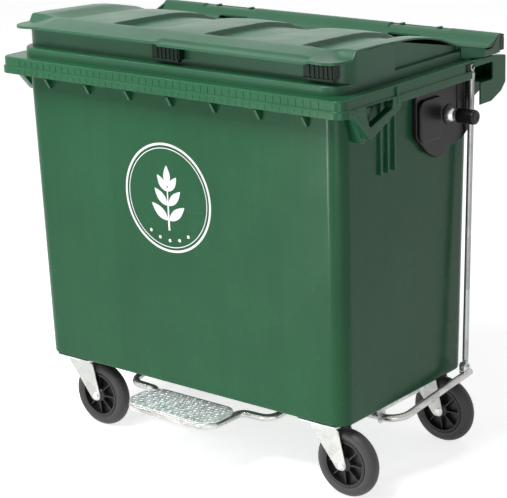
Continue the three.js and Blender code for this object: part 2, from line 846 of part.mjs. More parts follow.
function lid() {
  const roof = roofBlock();
  const skirtZ = rimTopZ + lidSkirtLift;
  const tray = prism(
    roundedRectangle(trayHalfWidth, trayFront, trayRear, trayCornerRadius), 'z', lidSeatZ, trayTopZ,
  );
  const trayHollow = prism(
    roundedRectangle(
      trayHalfWidth - lidWall, trayFront - lidWall, trayRear - lidWall, trayCornerRadius - lidWall,
    ),
    'z', rimTopZ - overrun, trayTopZ - lidWall,
  );
  const high = barTopZ + archRise;
  const plans = (inset, wallsFrom, rearFrom) => prism(wallPlan(inset), 'z', wallsFrom, high)
    .add(prism(rearPlan(inset), 'z', rearFrom, high));
  const upper = roof.intersect(plans(0, trayTopZ - fuse, rimTopZ + wingLift));
  const hollow = roofBlock(lidWall).intersect(plans(lidWall, rimTopZ - fuse, rimTopZ - fuse));
  const lipPlan = roundedRectangle(lipHalfWidth, -lipFrontY, lipRearY, lipCornerRadius);
  const lip = roof.subtract(roofBlock(lipThick)).intersect(prism(lipPlan, 'z', trayTopZ, high));
  const gripTop = troughZ + archRise * roofRowShares[1][1] - lipThick / 2;
  const grips = [gripInnerX, gripOuterX].map((x) => box(
    [x - gripWidth / 2, x + gripWidth / 2],
    [-wallFront - gripDepth, -wallFront + lidWall / 2],
    [gripTop - gripHeight, gripTop],
  ));
  const shell = cut(joined([tray, upper, ...grips]), [trayHollow, hollow]);
  const bosses = [-1, 1].map((side) => rod(
    hingeBossRadius, 'x', -hingeBossWidth / 2, hingeBossWidth / 2,
    [hingeX + side * (hingeSlotWidth + hingeBossWidth) / 2, hingeY, hingeZ],
  ));
  const webs = [-1, 1].map((side) => {
    const x = hingeX + side * (hingeSlotWidth + hingeBossWidth) / 2;
    return box(
      [x - lidWall, x + lidWall], [hingeY, lidRearY - fuse], [hingeZ, barTopZ - fuse],
    );
  });
  const slot = box(
    [hingeX - hingeSlotWidth / 2, hingeX + hingeSlotWidth / 2],
    [hingeY - hingeEarWidth / 2, lidRearY + overrun],
    [rimTopZ - overrun, hingeZ + hingeEarRadius + lidWall],
  );
  const pinHole = bore(
    hingePinRadius, 'x', -hingeSlotWidth * 2, hingeSlotWidth * 2, [hingeX, hingeY, hingeZ],
  );
  const lug = lidLug();
  const added = [...bosses, ...webs, lug];
  const heel = box(
    [-roofReach, roofReach], [hingeY + fuse, lidRearY + overrun], [rimTopZ - overrun, skirtZ],
  );
  const whole = joined([cut(shell, [heel]), lip, ...added, ...added.map(mirrored)]);
  return cut(whole, [slot, mirrored(slot), pinHole, mirrored(pinHole)]);
}

function hingePin() {
  const reach = hingeSlotWidth / 2 + hingeBossWidth + seatGap;
  return turned([
    [0, -reach - hingeHeadThick],
    [hingeHeadRadius, -reach - hingeHeadThick],
    [hingeHeadRadius, -reach],
    [hingePinRadius, -reach],
    [hingePinRadius, reach],
    [0, reach],
  ], 'x', [hingeX, hingeY, hingeZ], smallFacets);
}

// Trunnion assembly on the right side
const trunnionFaceX = sideWallX(trunnionZ) + trunnionPlateThick;
function trunnionPlate() {
  const top = rimBottomZ - trunnionPlateTopDrop;
  const bottom = top - trunnionPlateDepth;
  const width = trunnionPlateRear - trunnionPlateFront;
  const at = (yShare, zShare) => [
    trunnionPlateFront + width * yShare, bottom + trunnionPlateDepth * zShare,
  ];
  const plate = prism([
    at(0, 1), at(0, 0.42), at(0.1, 0.27), at(0.2, 0.145), at(0.33, 0.04), at(0.43, 0), at(0.5, 0.07),
    at(0.8, 0.14), at(1, 0.3), at(1, 1),
  ], 'x', tubHalfTop - trunnionPlateThick / 2, trunnionFaceX);
  const padRear = trunnionY - trunnionPadGapY + trunnionPadWidth / 2;
  const padFront = padRear - trunnionPadWidth;
  const padTop = trunnionZ + trunnionPadLift + trunnionPadHeight / 2;
  const padBottom = padTop - trunnionPadHeight;
  const pad = prism(rounded([
    [padFront, padBottom, trunnionPadWidth / 4],
    [padRear, padBottom, trunnionPadWidth / 10],
    [padRear, padTop, trunnionPadWidth / 10],
    [padFront, padTop, trunnionPadWidth / 4],
  ], 3), 'x', trunnionFaceX - fuse, trunnionFaceX + trunnionPadThick);
  const hole = bore(
    trunnionBoltRadius, 'x', -overrun, overrun, [tubHalfTop, trunnionY, trunnionZ],
  );
  return cut(plate.add(pad), [tubOuter(seatGap), hole]);
}
const shoulderStart = trunnionFaceX + seatGap;
const shoulderEnd = shoulderStart + trunnionShoulderLength;
const trunnionTipX = shoulderEnd + seatGap + trunnionSleeveLength;
const coreEnd = trunnionTipX - trunnionSleeveCap - seatGap;
const nutSeatX = sideWallX(trunnionZ) - tubWall - seatGap * 2 - trunnionWasherThick;
function trunnionPin() {
  return turned([
    [0, nutSeatX - trunnionNutThick],
    [trunnionBoltRadius, nutSeatX - trunnionNutThick],
    [trunnionBoltRadius, shoulderStart],
    [trunnionShoulderRadius, shoulderStart],
    [trunnionShoulderRadius, shoulderEnd],
    [trunnionCoreRadius, shoulderEnd],
    [trunnionCoreRadius, coreEnd],
    [0, coreEnd],
  ], 'x', [0, trunnionY, trunnionZ]);
}
function trunnionSleeve() {
  const inner = (trunnionCoreRadius + seatGap) / Math.cos(Math.PI / sleeveFacets);
  const start = shoulderEnd + seatGap;
  return turned([
    [0, trunnionTipX - trunnionSleeveCap],
    [inner, trunnionTipX - trunnionSleeveCap],
    [inner, start],
    [trunnionSleeveRadius, start],
    [trunnionSleeveRadius, trunnionTipX - trunnionSleeveCap],
    [trunnionSleeveRadius - trunnionSleeveCap, trunnionTipX],
    [0, trunnionTipX],
  ], 'x', [0, trunnionY, trunnionZ], sleeveFacets);
}
function trunnionNut() {
  const centre = [0, trunnionY, trunnionZ];
  const nut = rod(trunnionNutRadius, 'x', nutSeatX - trunnionNutThick, nutSeatX + fuse, centre, 6);
  const washer = rod(
    trunnionWasherRadius, 'x', nutSeatX, nutSeatX + trunnionWasherThick, centre, roundFacets,
  );
  const hole = bore(
    trunnionBoltRadius, 'x', nutSeatX - trunnionNutThick - fuse, nutSeatX + overrun, centre,
  );
  return cut(nut.add(washer), [hole]);
}

// Castor pieces, about the swivel line at x = y = 0 with the ground at z = 0; the wheel trails to +X.
const plateTopZ = tubBottomZ - seatGap;
const plateBottomZ = plateTopZ - topPlateThick;
const upperRaceZ = plateBottomZ - raceHeight;
const forkTopZ = upperRaceZ - seatGap - raceHeight;
const forkBottomZ = forkTopZ - forkTopThick;
function castorTopPlate() {
  const plate = prism(
    roundedRectangle(topPlateHalfX, topPlateHalfY, topPlateHalfY, topPlateCorner, 3),
    'z', plateBottomZ, plateTopZ,
  );
  const race = rod(raceRadius, 'z', upperRaceZ, plateBottomZ + fuse, [0, 0, 0]);
  const holes = studPlaces().map(([x, y]) => bore(
    studRadius, 'z', plateBottomZ - fuse, plateTopZ + fuse, [x, y, 0],
  ));
  const pinHole = bore(kingpinRadius, 'z', upperRaceZ - fuse, plateTopZ + fuse, [0, 0, 0]);
  const sink = bore(
    kingpinHeadRadius, 'z', plateTopZ - kingpinHeadThick - seatGap, plateTopZ + fuse, [0, 0, 0],
  );
  return cut(plate.add(race), [...holes, pinHole, sink]);
}
function castorKingpin() {
  const foot = forkBottomZ - seatGap;
  const head = plateTopZ - kingpinHeadThick;
  return turned([
    [0, foot - kingpinFootThick],
    [kingpinFootRadius, foot - kingpinFootThick],
    [kingpinFootRadius, foot],
    [kingpinRadius, foot],
    [kingpinRadius, head],
    [kingpinHeadRadius, head],
    [kingpinHeadRadius, plateTopZ],
    [0, plateTopZ],
  ], 'z', [0, 0, 0], smallFacets);
}
function castorFork() {
  const legInner = tyreWidth / 2 + forkClear;
  const legOuter = legInner + forkLegThick;
  const top = prism(
    roundedRectangle(forkTopFront, legOuter, legOuter, forkLegThick, 1), 'z', forkBottomZ, forkTopZ,
  );
  const race = rod(raceRadius, 'z', forkTopZ - fuse, forkTopZ + raceHeight, [0, 0, 0]);
  const legOutline = rounded([
    [-forkTopFront, forkTopZ - fuse, 0],
    [-forkTopFront, forkBottomZ - forkTopThick, 0],
    [castorTrail - forkAxleRadius, wheelRadius - forkAxleRadius, forkAxleRadius * 0.9],
    [castorTrail + forkAxleRadius, wheelRadius - forkAxleRadius, forkAxleRadius * 0.9],
    [forkLegRear, forkBottomZ - forkTopThick, 0],
    [forkTopRear, forkTopZ - fuse, 0],
  ]);
  const legs = [
    prism(legOutline, 'y', -legOuter, -legInner),
    prism(legOutline, 'y', legInner, legOuter),
  ];
  const pinHole = bore(kingpinRadius, 'z', forkBottomZ - fuse, plateTopZ, [0, 0, 0]);
  const axleHole = bore(
    axleRadius, 'y', -legOuter - fuse, legOuter + fuse, [castorTrail, 0, wheelRadius],
  );
  return cut(joined([top, race, ...legs]), [pinHole, axleHole]);
}
// Wheel pieces, about the axle at the local origin, axle along y.
function castorTyre() {
  const half = tyreWidth / 2;
  const inner = wheelRadius - tyreDepth;
  return turned([
    [inner, -half],
    [wheelRadius - tyreShoulder, -half],
    [wheelRadius - tyreShoulder * 0.3, -half + tyreShoulder * 0.5],
    [wheelRadius, -half + tyreShoulder * 1.2],
    [wheelRadius, half - tyreShoulder * 1.2],
    [wheelRadius - tyreShoulder * 0.3, half - tyreShoulder * 0.5],
    [wheelRadius - tyreShoulder, half],
    [inner, half],
    [inner, -half],
  ], 'y', [0, 0, 0], wheelFacets);
}
function castorHub() {
  const outer = wheelRadius - tyreDepth - seatGap;
  const half = tyreWidth / 2;
  const inner = outer - hubRimThick;
  const rim = turned([
    [inner, -half + fuse],
    [outer, -half + fuse],
    [outer, half - fuse],
    [inner, half - fuse],
    [inner, -half + fuse],
  ], 'y', [0, 0, 0], wheelFacets);
  const web = rod(inner + fuse, 'y', -hubWebThick / 2, hubWebThick / 2, [0, 0, 0], wheelFacets);
  const boss = rod(
    hubBossRadius, 'y', -half - forkClear + seatGap, half + forkClear - seatGap, [0, 0, 0],
    hubSpokes * 2,
  );
  const spokes = [];
  for (let i = 0; i < hubSpokes / 2; i += 1) {
    const spoke = new THREE.BoxGeometry(outer * 2 - hubRimThick, (half - hubSpokeInset) * 2, hubSpokeThick);
    spokes.push(solid(spoke.rotateY((Math.PI * 2 * i) / hubSpokes)));
  }
  const hole = bore(axleRadius, 'y', -half * 2, half * 2, [0, 0, 0]);
  return cut(joined([rim, web, boss, ...spokes]), [hole]);
}
function castorAxle() {
  const face = tyreWidth / 2 + forkClear + forkLegThick + seatGap;
  return turned([
    [0, -face - axleHeadThick],
    [axleHeadRadius, -face - axleHeadThick],
    [axleHeadRadius, -face],
    [axleRadius, -face],
    [axleRadius, face],
    [axleHeadRadius, face],
    [axleHeadRadius, face + axleHeadThick],
    [0, face + axleHeadThick],
  ], 'y', [0, 0, 0], smallFacets);
}
// Backing plate on the tub's floor with its four studs and nuts, about the swivel line.
function studPlate() {
  const bottom = tubBottomZ + tubFloor + seatGap;
  const plate = prism(
    roundedRectangle(studPlateHalfX, studPlateHalfY, studPlateHalfY, studPlateCorner, 2),
    'z', bottom, bottom + studPlateThick,
  );
  const nutTop = plateBottomZ - seatGap;
  const studs = studPlaces().map(([x, y]) => turned([
    [0, nutTop - studNutThick],
    [studNutRadius, nutTop - studNutThick],
    [studNutRadius, nutTop],
    [studRadius, nutTop],
    [studRadius, bottom + fuse],
    [0, bottom + fuse],
  ], 'z', [x, y, 0], smallFacets));
  return joined([plate, ...studs]);
}

// Pedal frame: one bent cross tube with its side arms, and the pedal's own loop welded to it.
const armSlope = armEndRise / (armEndY - pedalPivotY);
function crossTube() {
  const end = [armX, armEndY, pedalPivotZ + armEndRise, 0];
  const bend = [armX, pedalPivotY, pedalPivotZ, armBend];
  const flip = ([x, y, z, radius]) => [-x, y, z, radius];
  return bentTube([flip(end), flip(bend), bend, end], tubeRadius);
}
function pedalLoop() {
  const z = pedalPivotZ - loopDrop;
  const right = [
    [loopHalfWidth, loopFrontY, z, loopBend],
    [loopHalfWidth, loopRearY, z, loopSmallBend],
    [loopOuterX, loopRearY, z + tubeRadius / 2, loopBend * 0.8],
    [loopMountX, pedalPivotY, pedalPivotZ, 0],
  ];
  const left = right.map(([x, y, zz, bend]) => [-x, y, zz, bend]).reverse();
  const seat = bore(tubeRadius, 'x', -armX, armX, [0, pedalPivotY, pedalPivotZ], roundFacets);
  return bentTube(left.concat(right), tubeRadius).subtract(seat);
}
function pedalPlate() {
  const z = pedalPivotZ - loopDrop + tubeRadius + seatGap;
  const outline = roundedRectangle(
    loopHalfWidth + pedalEdge, -loopFrontY + pedalEdge, loopRearY - tubeRadius, loopBend + pedalEdge,
  );
  return prism(outline, 'z', z, z + pedalThick);
}
function pivotBearing() {
  const from = bearingX - bearingWidth / 2;
  const top = tubBottomZ - seatGap;
  const bottom = pedalPivotZ - bearingBelow;
  const half = bearingDepth / 2;
  const block = prism([
    [pedalPivotY - half, top],
    [pedalPivotY - half, bottom + bearingChamfer],
    [pedalPivotY - half + bearingChamfer, bottom],
    [pedalPivotY + half - bearingChamfer, bottom],
    [pedalPivotY + half, bottom + bearingChamfer],
    [pedalPivotY + half, top],
  ], 'x', from, from + bearingWidth);
  return block.subtract(bore(
    tubeRadius, 'x', from - fuse, from + bearingWidth + fuse, [0, pedalPivotY, pedalPivotZ],
    roundFacets,
  ));
}
// Angle rail under the floor's edge, with an ear round the cross tube.
function pivotRail() {
  const top = tubBottomZ - seatGap;
  const flange = box([railOuterX - railWidth, railOuterX], [railFrontY, railRearY], [top - railThick, top]);
  const web = box([railOuterX - railThick, railOuterX], [railFrontY, railRearY], [top - railWeb, top]);
  const ear = prism([
    [pedalPivotY - railEarHalf, top - railThick],
    [pedalPivotY - railEarHalf, pedalPivotZ - railEarHalf / 2],
    [pedalPivotY - railEarHalf / 2, pedalPivotZ - railEarHalf],
    [pedalPivotY + railEarHalf / 2, pedalPivotZ - railEarHalf],
    [pedalPivotY + railEarHalf, pedalPivotZ - railEarHalf / 2],
    [pedalPivotY + railEarHalf, top - railThick],
  ], 'x', railOuterX - railThick, railOuterX);
  return cut(joined([flange, web, ear]), [bore(
    tubeRadius, 'x', railOuterX - railWidth, railOuterX + fuse, [0, pedalPivotY, pedalPivotZ],
    roundFacets,
  )]);
}

// Rods and their ends
const clevisSeatZ = pedalPivotZ + armSlope * (armClevisY - pedalPivotY) + tubeRadius;
const rodFootZ = clevisSeatZ + seatGap * 3 + clevisBase + rodEyeRadius + fuse;
function rodClevis() {
  const inner = rodEyeThick / 2 + seatGap * 2;
  const outer = inner + clevisThick;
  const bottom = clevisSeatZ - tubeRadius / 2;
  const cheek = rounded([
    [armClevisY - clevisHalf, bottom, 0],
    [armClevisY + clevisHalf, bottom, 0],
    [armClevisY + clevisHalf, rodFootZ + rodEyeRadius * 0.8, clevisHalf * 0.7],
    [armClevisY - clevisHalf, rodFootZ + rodEyeRadius * 0.8, clevisHalf * 0.7],
  ], 3);
  const whole = prism(cheek, 'x', armX - outer, armX + outer);
  const space = box(
    [armX - inner, armX + inner],
    [armClevisY - clevisHalf * 2, armClevisY + clevisHalf * 2],
    [rodFootZ - rodEyeRadius - fuse, rodFootZ + overrun],
  );
  const arm = bentTube([
    [armX, pedalPivotY, pedalPivotZ, 0],
    [armX, armEndY, pedalPivotZ + armEndRise, 0],
  ], tubeRadius + seatGap);
  const pin = rod(
    rodPinRadius, 'x', -outer - clevisThick, outer + clevisThick, [armX, armClevisY, rodFootZ],
    smallFacets,
  );
  return cut(whole, [space, arm]).add(pin);
}
// The rod is a bar whose ends are pressed flat to an eye; the flats run on past the clevis's cheeks.
function liftRod() {
  const foot = [armX, armClevisY, rodFootZ];
  const head = [armX, rodTopY, rodTopZ];
  const shank = bentTube([[...foot, 0], [...head, 0]], rodRadius);
  const ends = [
    { place: foot, radius: rodEyeRadius, thick: rodEyeThick, flat: rodFootFlat },
    { place: head, radius: rodTopEyeRadius, thick: rodTopEyeThick, flat: rodHeadFlat },
  ];
  const eyes = ends.map(({ place, radius, thick }) => rod(
    radius, 'x', -thick / 2, thick / 2, place, sleeveFacets,
  ));
  const holes = ends.map(({ place }) => bore(rodPinRadius, 'x', -rodEyeThick, rodEyeThick, place));
  const trims = ends.flatMap(({ place, thick, flat }) => [-1, 1].map((side) => {
    const reach = [side * (thick / 2), side * rodEyeThick].sort((a, b) => a - b);
    return rod(flat, 'x', ...reach, place, sleeveFacets);
  }));
  return cut(joined([shank, ...eyes]), [...holes, ...trims]);
}
function lidPin() {
  const end = armX - rodTopEyeThick / 2 - lugPinRelief;
  const head = lugInnerX - seatGap;
  return turned([
    [0, head - lugPinHead],
    [rodPinRadius * 1.6, head - lugPinHead],
    [rodPinRadius * 1.6, head],
    [rodPinRadius, head],
    [rodPinRadius, end],
    [0, end],
  ], 'x', [0, rodTopY, rodTopZ], smallFacets);
}

function meshOf(name, shape, material) {
  const { vertProperties, triVerts } = shape.simplify(sliver).getMesh();
  const geometry = new THREE.BufferGeometry();
  geometry.setAttribute('position', new THREE.BufferAttribute(Float32Array.from(vertProperties), 3));
  geometry.setIndex(new THREE.BufferAttribute(Uint32Array.from(triVerts), 1));
  geometry.computeVertexNormals();
  const mesh = new THREE.Mesh(geometry, material);
  mesh.name = name;
  return mesh;
}

function addPair(group, name, shape, material) {
  group.add(meshOf(`${name}_right`, shape, material));
  group.add(meshOf(`${name}_left`, mirrored(shape), material));
}

const container = new THREE.Group();
const body = new THREE.Group();
const frontReach = Math.min(loopFrontY - pedalEdge, loopFrontY - tubeRadius, -rimFront);
body.position.y = -(frontReach + blockRearY) / 2;
container.add(body);

body.add(meshOf('body_tub', bodyTub(), colours.green));
body.add(meshOf('lid', lid(), colours.lidGreen));
addPair(body, 'hinge_pin', hingePin(), colours.blackPlastic);
addPair(body, 'trunnion_plate', trunnionPlate(), colours.blackPlastic);
addPair(body, 'trunnion_pin', trunnionPin(), colours.steel);
addPair(body, 'trunnion_sleeve', trunnionSleeve(), colours.blackPlastic);
addPair(body, 'trunnion_nut', trunnionNut(), colours.zinc);
addPair(body, 'pivot_bearing', pivotBearing(), colours.blackPlastic);
addPair(body, 'pivot_rail', pivotRail(), colours.zinc);
addPair(body, 'rod_clevis', rodClevis(), colours.zinc);
addPair(body, 'lift_rod', liftRod(), colours.zinc);
addPair(body, 'lid_pin', lidPin(), colours.zinc);
body.add(meshOf('pedal_cross_tube', crossTube(), colours.zinc));
body.add(meshOf('pedal_loop', pedalLoop(), colours.zinc));
body.add(meshOf('pedal_plate', pedalPlate(), colours.zinc));

const castorPieces = [
  ['castor_top_plate', castorTopPlate(), colours.zinc],
  ['castor_kingpin', castorKingpin(), colours.steel],
  ['castor_fork', castorFork(), colours.zinc],
  ['castor_studs', studPlate(), colours.zinc],
];
const wheelPieces = [
  ['castor_tyre', castorTyre(), colours.tyre],
  ['castor_hub', castorHub(), colours.blackPlastic],
  ['castor_axle', castorAxle(), colours.steel],
];
for (const { name, x, y } of castorPlaces()) {
  const castor = new THREE.Group();
  castor.position.set(x, y, 0);
  const wheel = new THREE.Group();
  wheel.position.set(castorTrail, 0, wheelRadius);
  for (const [piece, shape, material] of castorPieces) {
    castor.add(meshOf(`${piece}_${name}`, shape, material));
  }
  for (const [piece, shape, material] of wheelPieces) {
    wheel.add(meshOf(`${piece}_${name}`, shape, material));
  }
  castor.add(wheel);
  body.add(castor);
}

export default container;
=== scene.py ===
import math

import bmesh
import bpy
from mathutils import Matrix, Vector


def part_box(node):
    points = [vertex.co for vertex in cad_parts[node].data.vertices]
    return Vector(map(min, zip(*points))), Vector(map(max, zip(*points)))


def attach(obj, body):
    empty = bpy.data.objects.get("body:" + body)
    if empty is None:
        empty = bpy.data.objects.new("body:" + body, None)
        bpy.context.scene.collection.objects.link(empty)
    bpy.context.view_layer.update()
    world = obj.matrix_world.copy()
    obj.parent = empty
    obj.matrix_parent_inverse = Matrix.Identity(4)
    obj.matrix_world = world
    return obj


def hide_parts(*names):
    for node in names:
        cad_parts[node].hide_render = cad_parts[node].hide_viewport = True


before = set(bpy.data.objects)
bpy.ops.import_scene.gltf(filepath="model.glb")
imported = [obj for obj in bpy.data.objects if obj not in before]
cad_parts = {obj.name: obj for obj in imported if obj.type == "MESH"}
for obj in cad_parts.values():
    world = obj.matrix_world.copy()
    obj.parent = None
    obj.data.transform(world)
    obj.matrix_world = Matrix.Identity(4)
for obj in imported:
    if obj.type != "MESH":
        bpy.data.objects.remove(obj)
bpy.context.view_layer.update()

# Sizes are in millimetres and count y from the middle of the tub's floor, like the CAD source.
MM = 0.001
TUB_REAR_Y = 427
SHIFT_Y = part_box("body_tub")[1].y / MM - TUB_REAR_Y


def metres(point):
    return Vector((point[0] * MM, (point[1] + SHIFT_Y) * MM, point[2] * MM))


# Camera
def add_camera():
    azimuth, elevation, roll = math.radians(39.14), math.radians(17.11), math.radians(-1.87)
    back = Vector((
        math.sin(azimuth) * math.cos(elevation),
        -math.cos(azimuth) * math.cos(elevation),
        math.sin(elevation),
    ))
    right = Vector((math.cos(azimuth), math.sin(azimuth), 0))
    up = back.cross(right)
    tilted_right = right * math.cos(roll) + up * math.sin(roll)
    tilted_up = up * math.cos(roll) - right * math.sin(roll)
    target = metres((70.91, 19.18, 560.17))
    distance = 5.46559
    camera = bpy.data.cameras.new("camera")
    camera.sensor_width = 36
    camera.lens = 130.69
    camera.shift_x = -0.0336
    camera.shift_y = 0.0105
    camera.clip_end = 100
    holder = bpy.data.objects.new("camera", camera)
    holder.matrix_world = Matrix.Translation(target + back * distance) @ Matrix((
        (tilted_right.x, tilted_up.x, back.x, 0),
        (tilted_right.y, tilted_up.y, back.y, 0),
        (tilted_right.z, tilted_up.z, back.z, 0),
        (0, 0, 0, 1),
    ))
    bpy.context.scene.collection.objects.link(holder)
    bpy.context.scene.camera = holder


add_camera()


# Materials
def new_material(name):
    material = bpy.data.materials.new(name)
    material.use_nodes = True
    nodes = material.node_tree.nodes
    return material, nodes, material.node_tree.links, nodes["Principled BSDF"]


def noise(nodes, links, scale, detail, stretch=(1, 1, 1)):
    place = nodes.new("ShaderNodeTexCoord")
    mapping = nodes.new("ShaderNodeMapping")
    mapping.inputs["Scale"].default_value = stretch
    texture = nodes.new("ShaderNodeTexNoise")
    texture.inputs["Scale"].default_value = scale
    texture.inputs["Detail"].default_value = detail
    links.new(place.outputs["Object"], mapping.inputs["Vector"])
    links.new(mapping.outputs["Vector"], texture.inputs["Vector"])
    return texture.outputs["Fac"]


def ramp(nodes, links, source, stops):
    node = nodes.new("ShaderNodeValToRGB")
    elements = node.color_ramp.elements
    while len(elements) < len(stops):
        elements.new(0.5)
    for element, (place, colour) in zip(elements, stops):
        element.position = place
        element.color = (*colour, 1) if len(colour) == 3 else colour
    links.new(source, node.inputs["Fac"])
    return node.outputs["Color"]


def grey(value):
    return (value, value, value)


def mixed(nodes, links, blend, factor, first, second):
    node = nodes.new("ShaderNodeMix")
    node.data_type = "RGBA"
    node.blend_type = blend
    node.inputs["Factor"].default_value = factor
    links.new(first, node.inputs["A"])
    links.new(second, node.inputs["B"])
    return node.outputs["Result"]


def bump(nodes, links, shader, source, distance, strength=1.0, before=None):
    node = nodes.new("ShaderNodeBump")
    node.inputs["Strength"].default_value = strength
    node.inputs["Distance"].default_value = distance
    links.new(source, node.inputs["Height"])
    if before:
        links.new(before, node.inputs["Normal"])
    links.new(node.outputs["Normal"], shader.inputs["Normal"])
    return node.outputs["Normal"]


def plastic(name, dark, pale, rough, stipple, gloss=0.5, streaks=0.25):
    material, nodes, links, shader = new_material(name)
    broad = ramp(nodes, links, noise(nodes, links, 2.2, 3), [(0.3, dark), (0.7, pale)])
    flow = ramp(
        nodes, links, noise(nodes, links, 26, 2, (1, 1, 0.04)), [(0.35, grey(0.86)), (0.65, grey(1.0))],
    )
    links.new(mixed(nodes, links, "MULTIPLY", streaks, broad, flow), shader.inputs["Base Color"])
    rougher = ramp(
        nodes, links, noise(nodes, links, 9, 5), [(0.3, grey(rough * 0.85)), (0.75, grey(rough * 1.25))],
    )
    links.new(rougher, shader.inputs["Roughness"])
    waves = bump(nodes, links, shader, noise(nodes, links, 5, 1, (1, 1, 0.5)), 0.004, 0.25)
    bump(nodes, links, shader, noise(nodes, links, 620, 2), 0.0004, stipple, waves)
    shader.inputs["Specular IOR Level"].default_value = gloss
    return material


def zinc(name, dark, pale, rough, spangle=55):
    material, nodes, links, shader = new_material(name)
    place = nodes.new("ShaderNodeTexCoord")
    cells = nodes.new("ShaderNodeTexVoronoi")
    cells.inputs["Scale"].default_value = spangle
    links.new(place.outputs["Object"], cells.inputs["Vector"])
    split = nodes.new("ShaderNodeSeparateColor")
    links.new(cells.outputs["Color"], split.inputs["Color"])
    colour = ramp(nodes, links, split.outputs["Red"], [(0.1, dark), (0.9, pale)])
    stains = ramp(nodes, links, noise(nodes, links, 18, 5), [(0.3, grey(0.82)), (0.6, grey(1.0))])
    links.new(mixed(nodes, links, "MULTIPLY", 0.6, colour, stains), shader.inputs["Base Color"])
    rougher = ramp(
        nodes, links, split.outputs["Green"], [(0.0, grey(rough * 0.8)), (1.0, grey(rough * 1.3))],
    )
    links.new(rougher, shader.inputs["Roughness"])
    shader.inputs["Metallic"].default_value = 0.85
    bump(nodes, links, shader, noise(nodes, links, 240, 3), 0.0003, 0.35)
    return material


GREEN = plastic("tub_green", (0.012, 0.086, 0.035), (0.018, 0.108, 0.045), 0.25, 0.1, 0.18, 0.5)
# A lighter copy of the tub's own green for the rim and the parts about it: painted light, the tub's top lit
# more than its wall.
RIM_LIT_GREEN = plastic("rim_green_painted_light", (0.016, 0.106, 0.045), (0.023, 0.130, 0.058), 0.25, 0.12, 0.26)
LID_GREEN = plastic("lid_green", (0.020, 0.106, 0.049), (0.032, 0.138, 0.070), 0.32, 0.15, 0.34)
# Near-black copy of the lid's green for the grips: painted shade from under the lid's lip, not a dark
# plastic.
GRIP_PAINTED_SHADE = plastic("grip_painted_shade", (0.004, 0.016, 0.009), (0.009, 0.030, 0.017), 0.4, 0.15, 0.2)
BLACK = plastic("black_plastic", (0.007, 0.005, 0.006), (0.014, 0.011, 0.013), 0.3, 0.3, 0.26, 0)
HUB_BLACK = plastic("hub_plastic", (0.008, 0.007, 0.007), (0.016, 0.015, 0.015), 0.36, 0.3, 0.4, 0)
RUBBER = plastic("tyre_rubber", (0.024, 0.023, 0.023), (0.044, 0.043, 0.043), 0.5, 0.5, 0.45, 0)
ZINC = zinc("zinc_plate", (0.50, 0.52, 0.53), (0.74, 0.75, 0.75), 0.34)
FORK_ZINC = zinc("fork_zinc", (0.50, 0.51, 0.49), (0.62, 0.62, 0.60), 0.46, 30)
TUBE_ZINC = zinc("tube_zinc", (0.46, 0.46, 0.44), (0.62, 0.62, 0.60), 0.28, 24)
ROD_ZINC = zinc("rod_zinc", (0.34, 0.35, 0.34), (0.42, 0.43, 0.42), 0.34, 8)
TREAD_ZINC = zinc("tread_zinc", (0.72, 0.75, 0.77), (0.94, 0.96, 0.97), 0.55, 120)
STEEL = zinc("bright_steel", (0.80, 0.80, 0.80), (0.93, 0.93, 0.93), 0.3, 20)


def white_print():
    material, nodes, links, shader = new_material("white_print")
    colour = ramp(nodes, links, noise(nodes, links, 30, 3), [(0.3, grey(0.80)), (0.7, grey(0.90))])
    links.new(colour, shader.inputs["Base Color"])
    rougher = ramp(nodes, links, noise(nodes, links, 60, 2), [(0.3, grey(0.3)), (0.7, grey(0.42))])
    links.new(rougher, shader.inputs["Roughness"])
    return material


WHITE = white_print()


# Meshes
def mesh_object(name, points, faces):
    mesh = bpy.data.meshes.new(name)
    mesh.from_pydata([metres(p) for p in points], [], faces)
    mesh.update()
    made = bmesh.new()
    made.from_mesh(mesh)
    bmesh.ops.remove_doubles(made, verts=made.verts, dist=1e-6)
    bmesh.ops.dissolve_degenerate(made, edges=made.edges, dist=1e-6)
    bmesh.ops.recalc_face_normals(made, faces=made.faces)
    made.to_mesh(mesh)
    made.free()
    thing = bpy.data.objects.new(name, mesh)
    bpy.context.scene.collection.objects.link(thing)
    return thing


def apply_modifiers(thing):
    graph = bpy.context.evaluated_depsgraph_get()
    mesh = bpy.data.meshes.new_from_object(thing.evaluated_get(graph))
    thing.modifiers.clear()
    thing.data = mesh
    return thing


def boolean(thing, tools, operation="DIFFERENCE"):
    for tool in tools:
        modifier = thing.modifiers.new("boolean", "BOOLEAN")
        modifier.operation = operation
        modifier.solver = "EXACT"
        modifier.object = tool
        apply_modifiers(thing)
        bpy.data.objects.remove(tool)
    return thing


def joined(things, name=None):
    made = bmesh.new()
    for thing in things:
        made.from_mesh(thing.data)
    made.to_mesh(things[0].data)
    made.free()
    for thing in things[1:]:
        bpy.data.objects.remove(thing)
    if name:
        things[0].name = name
    return things[0]


def smoothed(thing, bevel=0.0, segments=2, limit=32):
    if bevel:
        modifier = thing.modifiers.new("bevel", "BEVEL")
        modifier.width = bevel * MM
        modifier.segments = segments
        modifier.limit_method = "ANGLE"
        modifier.angle_limit = math.radians(limit)
        modifier.use_clamp_overlap = True
        apply_modifiers(thing)
    mesh = thing.data
    mesh.polygons.foreach_set("use_smooth", [True] * len(mesh.polygons))
    mesh.set_sharp_from_angle(angle=math.radians(limit + 8))
    modifier = thing.modifiers.new("normals", "WEIGHTED_NORMAL")
    modifier.keep_sharp = True
    apply_modifiers(thing)
    return thing


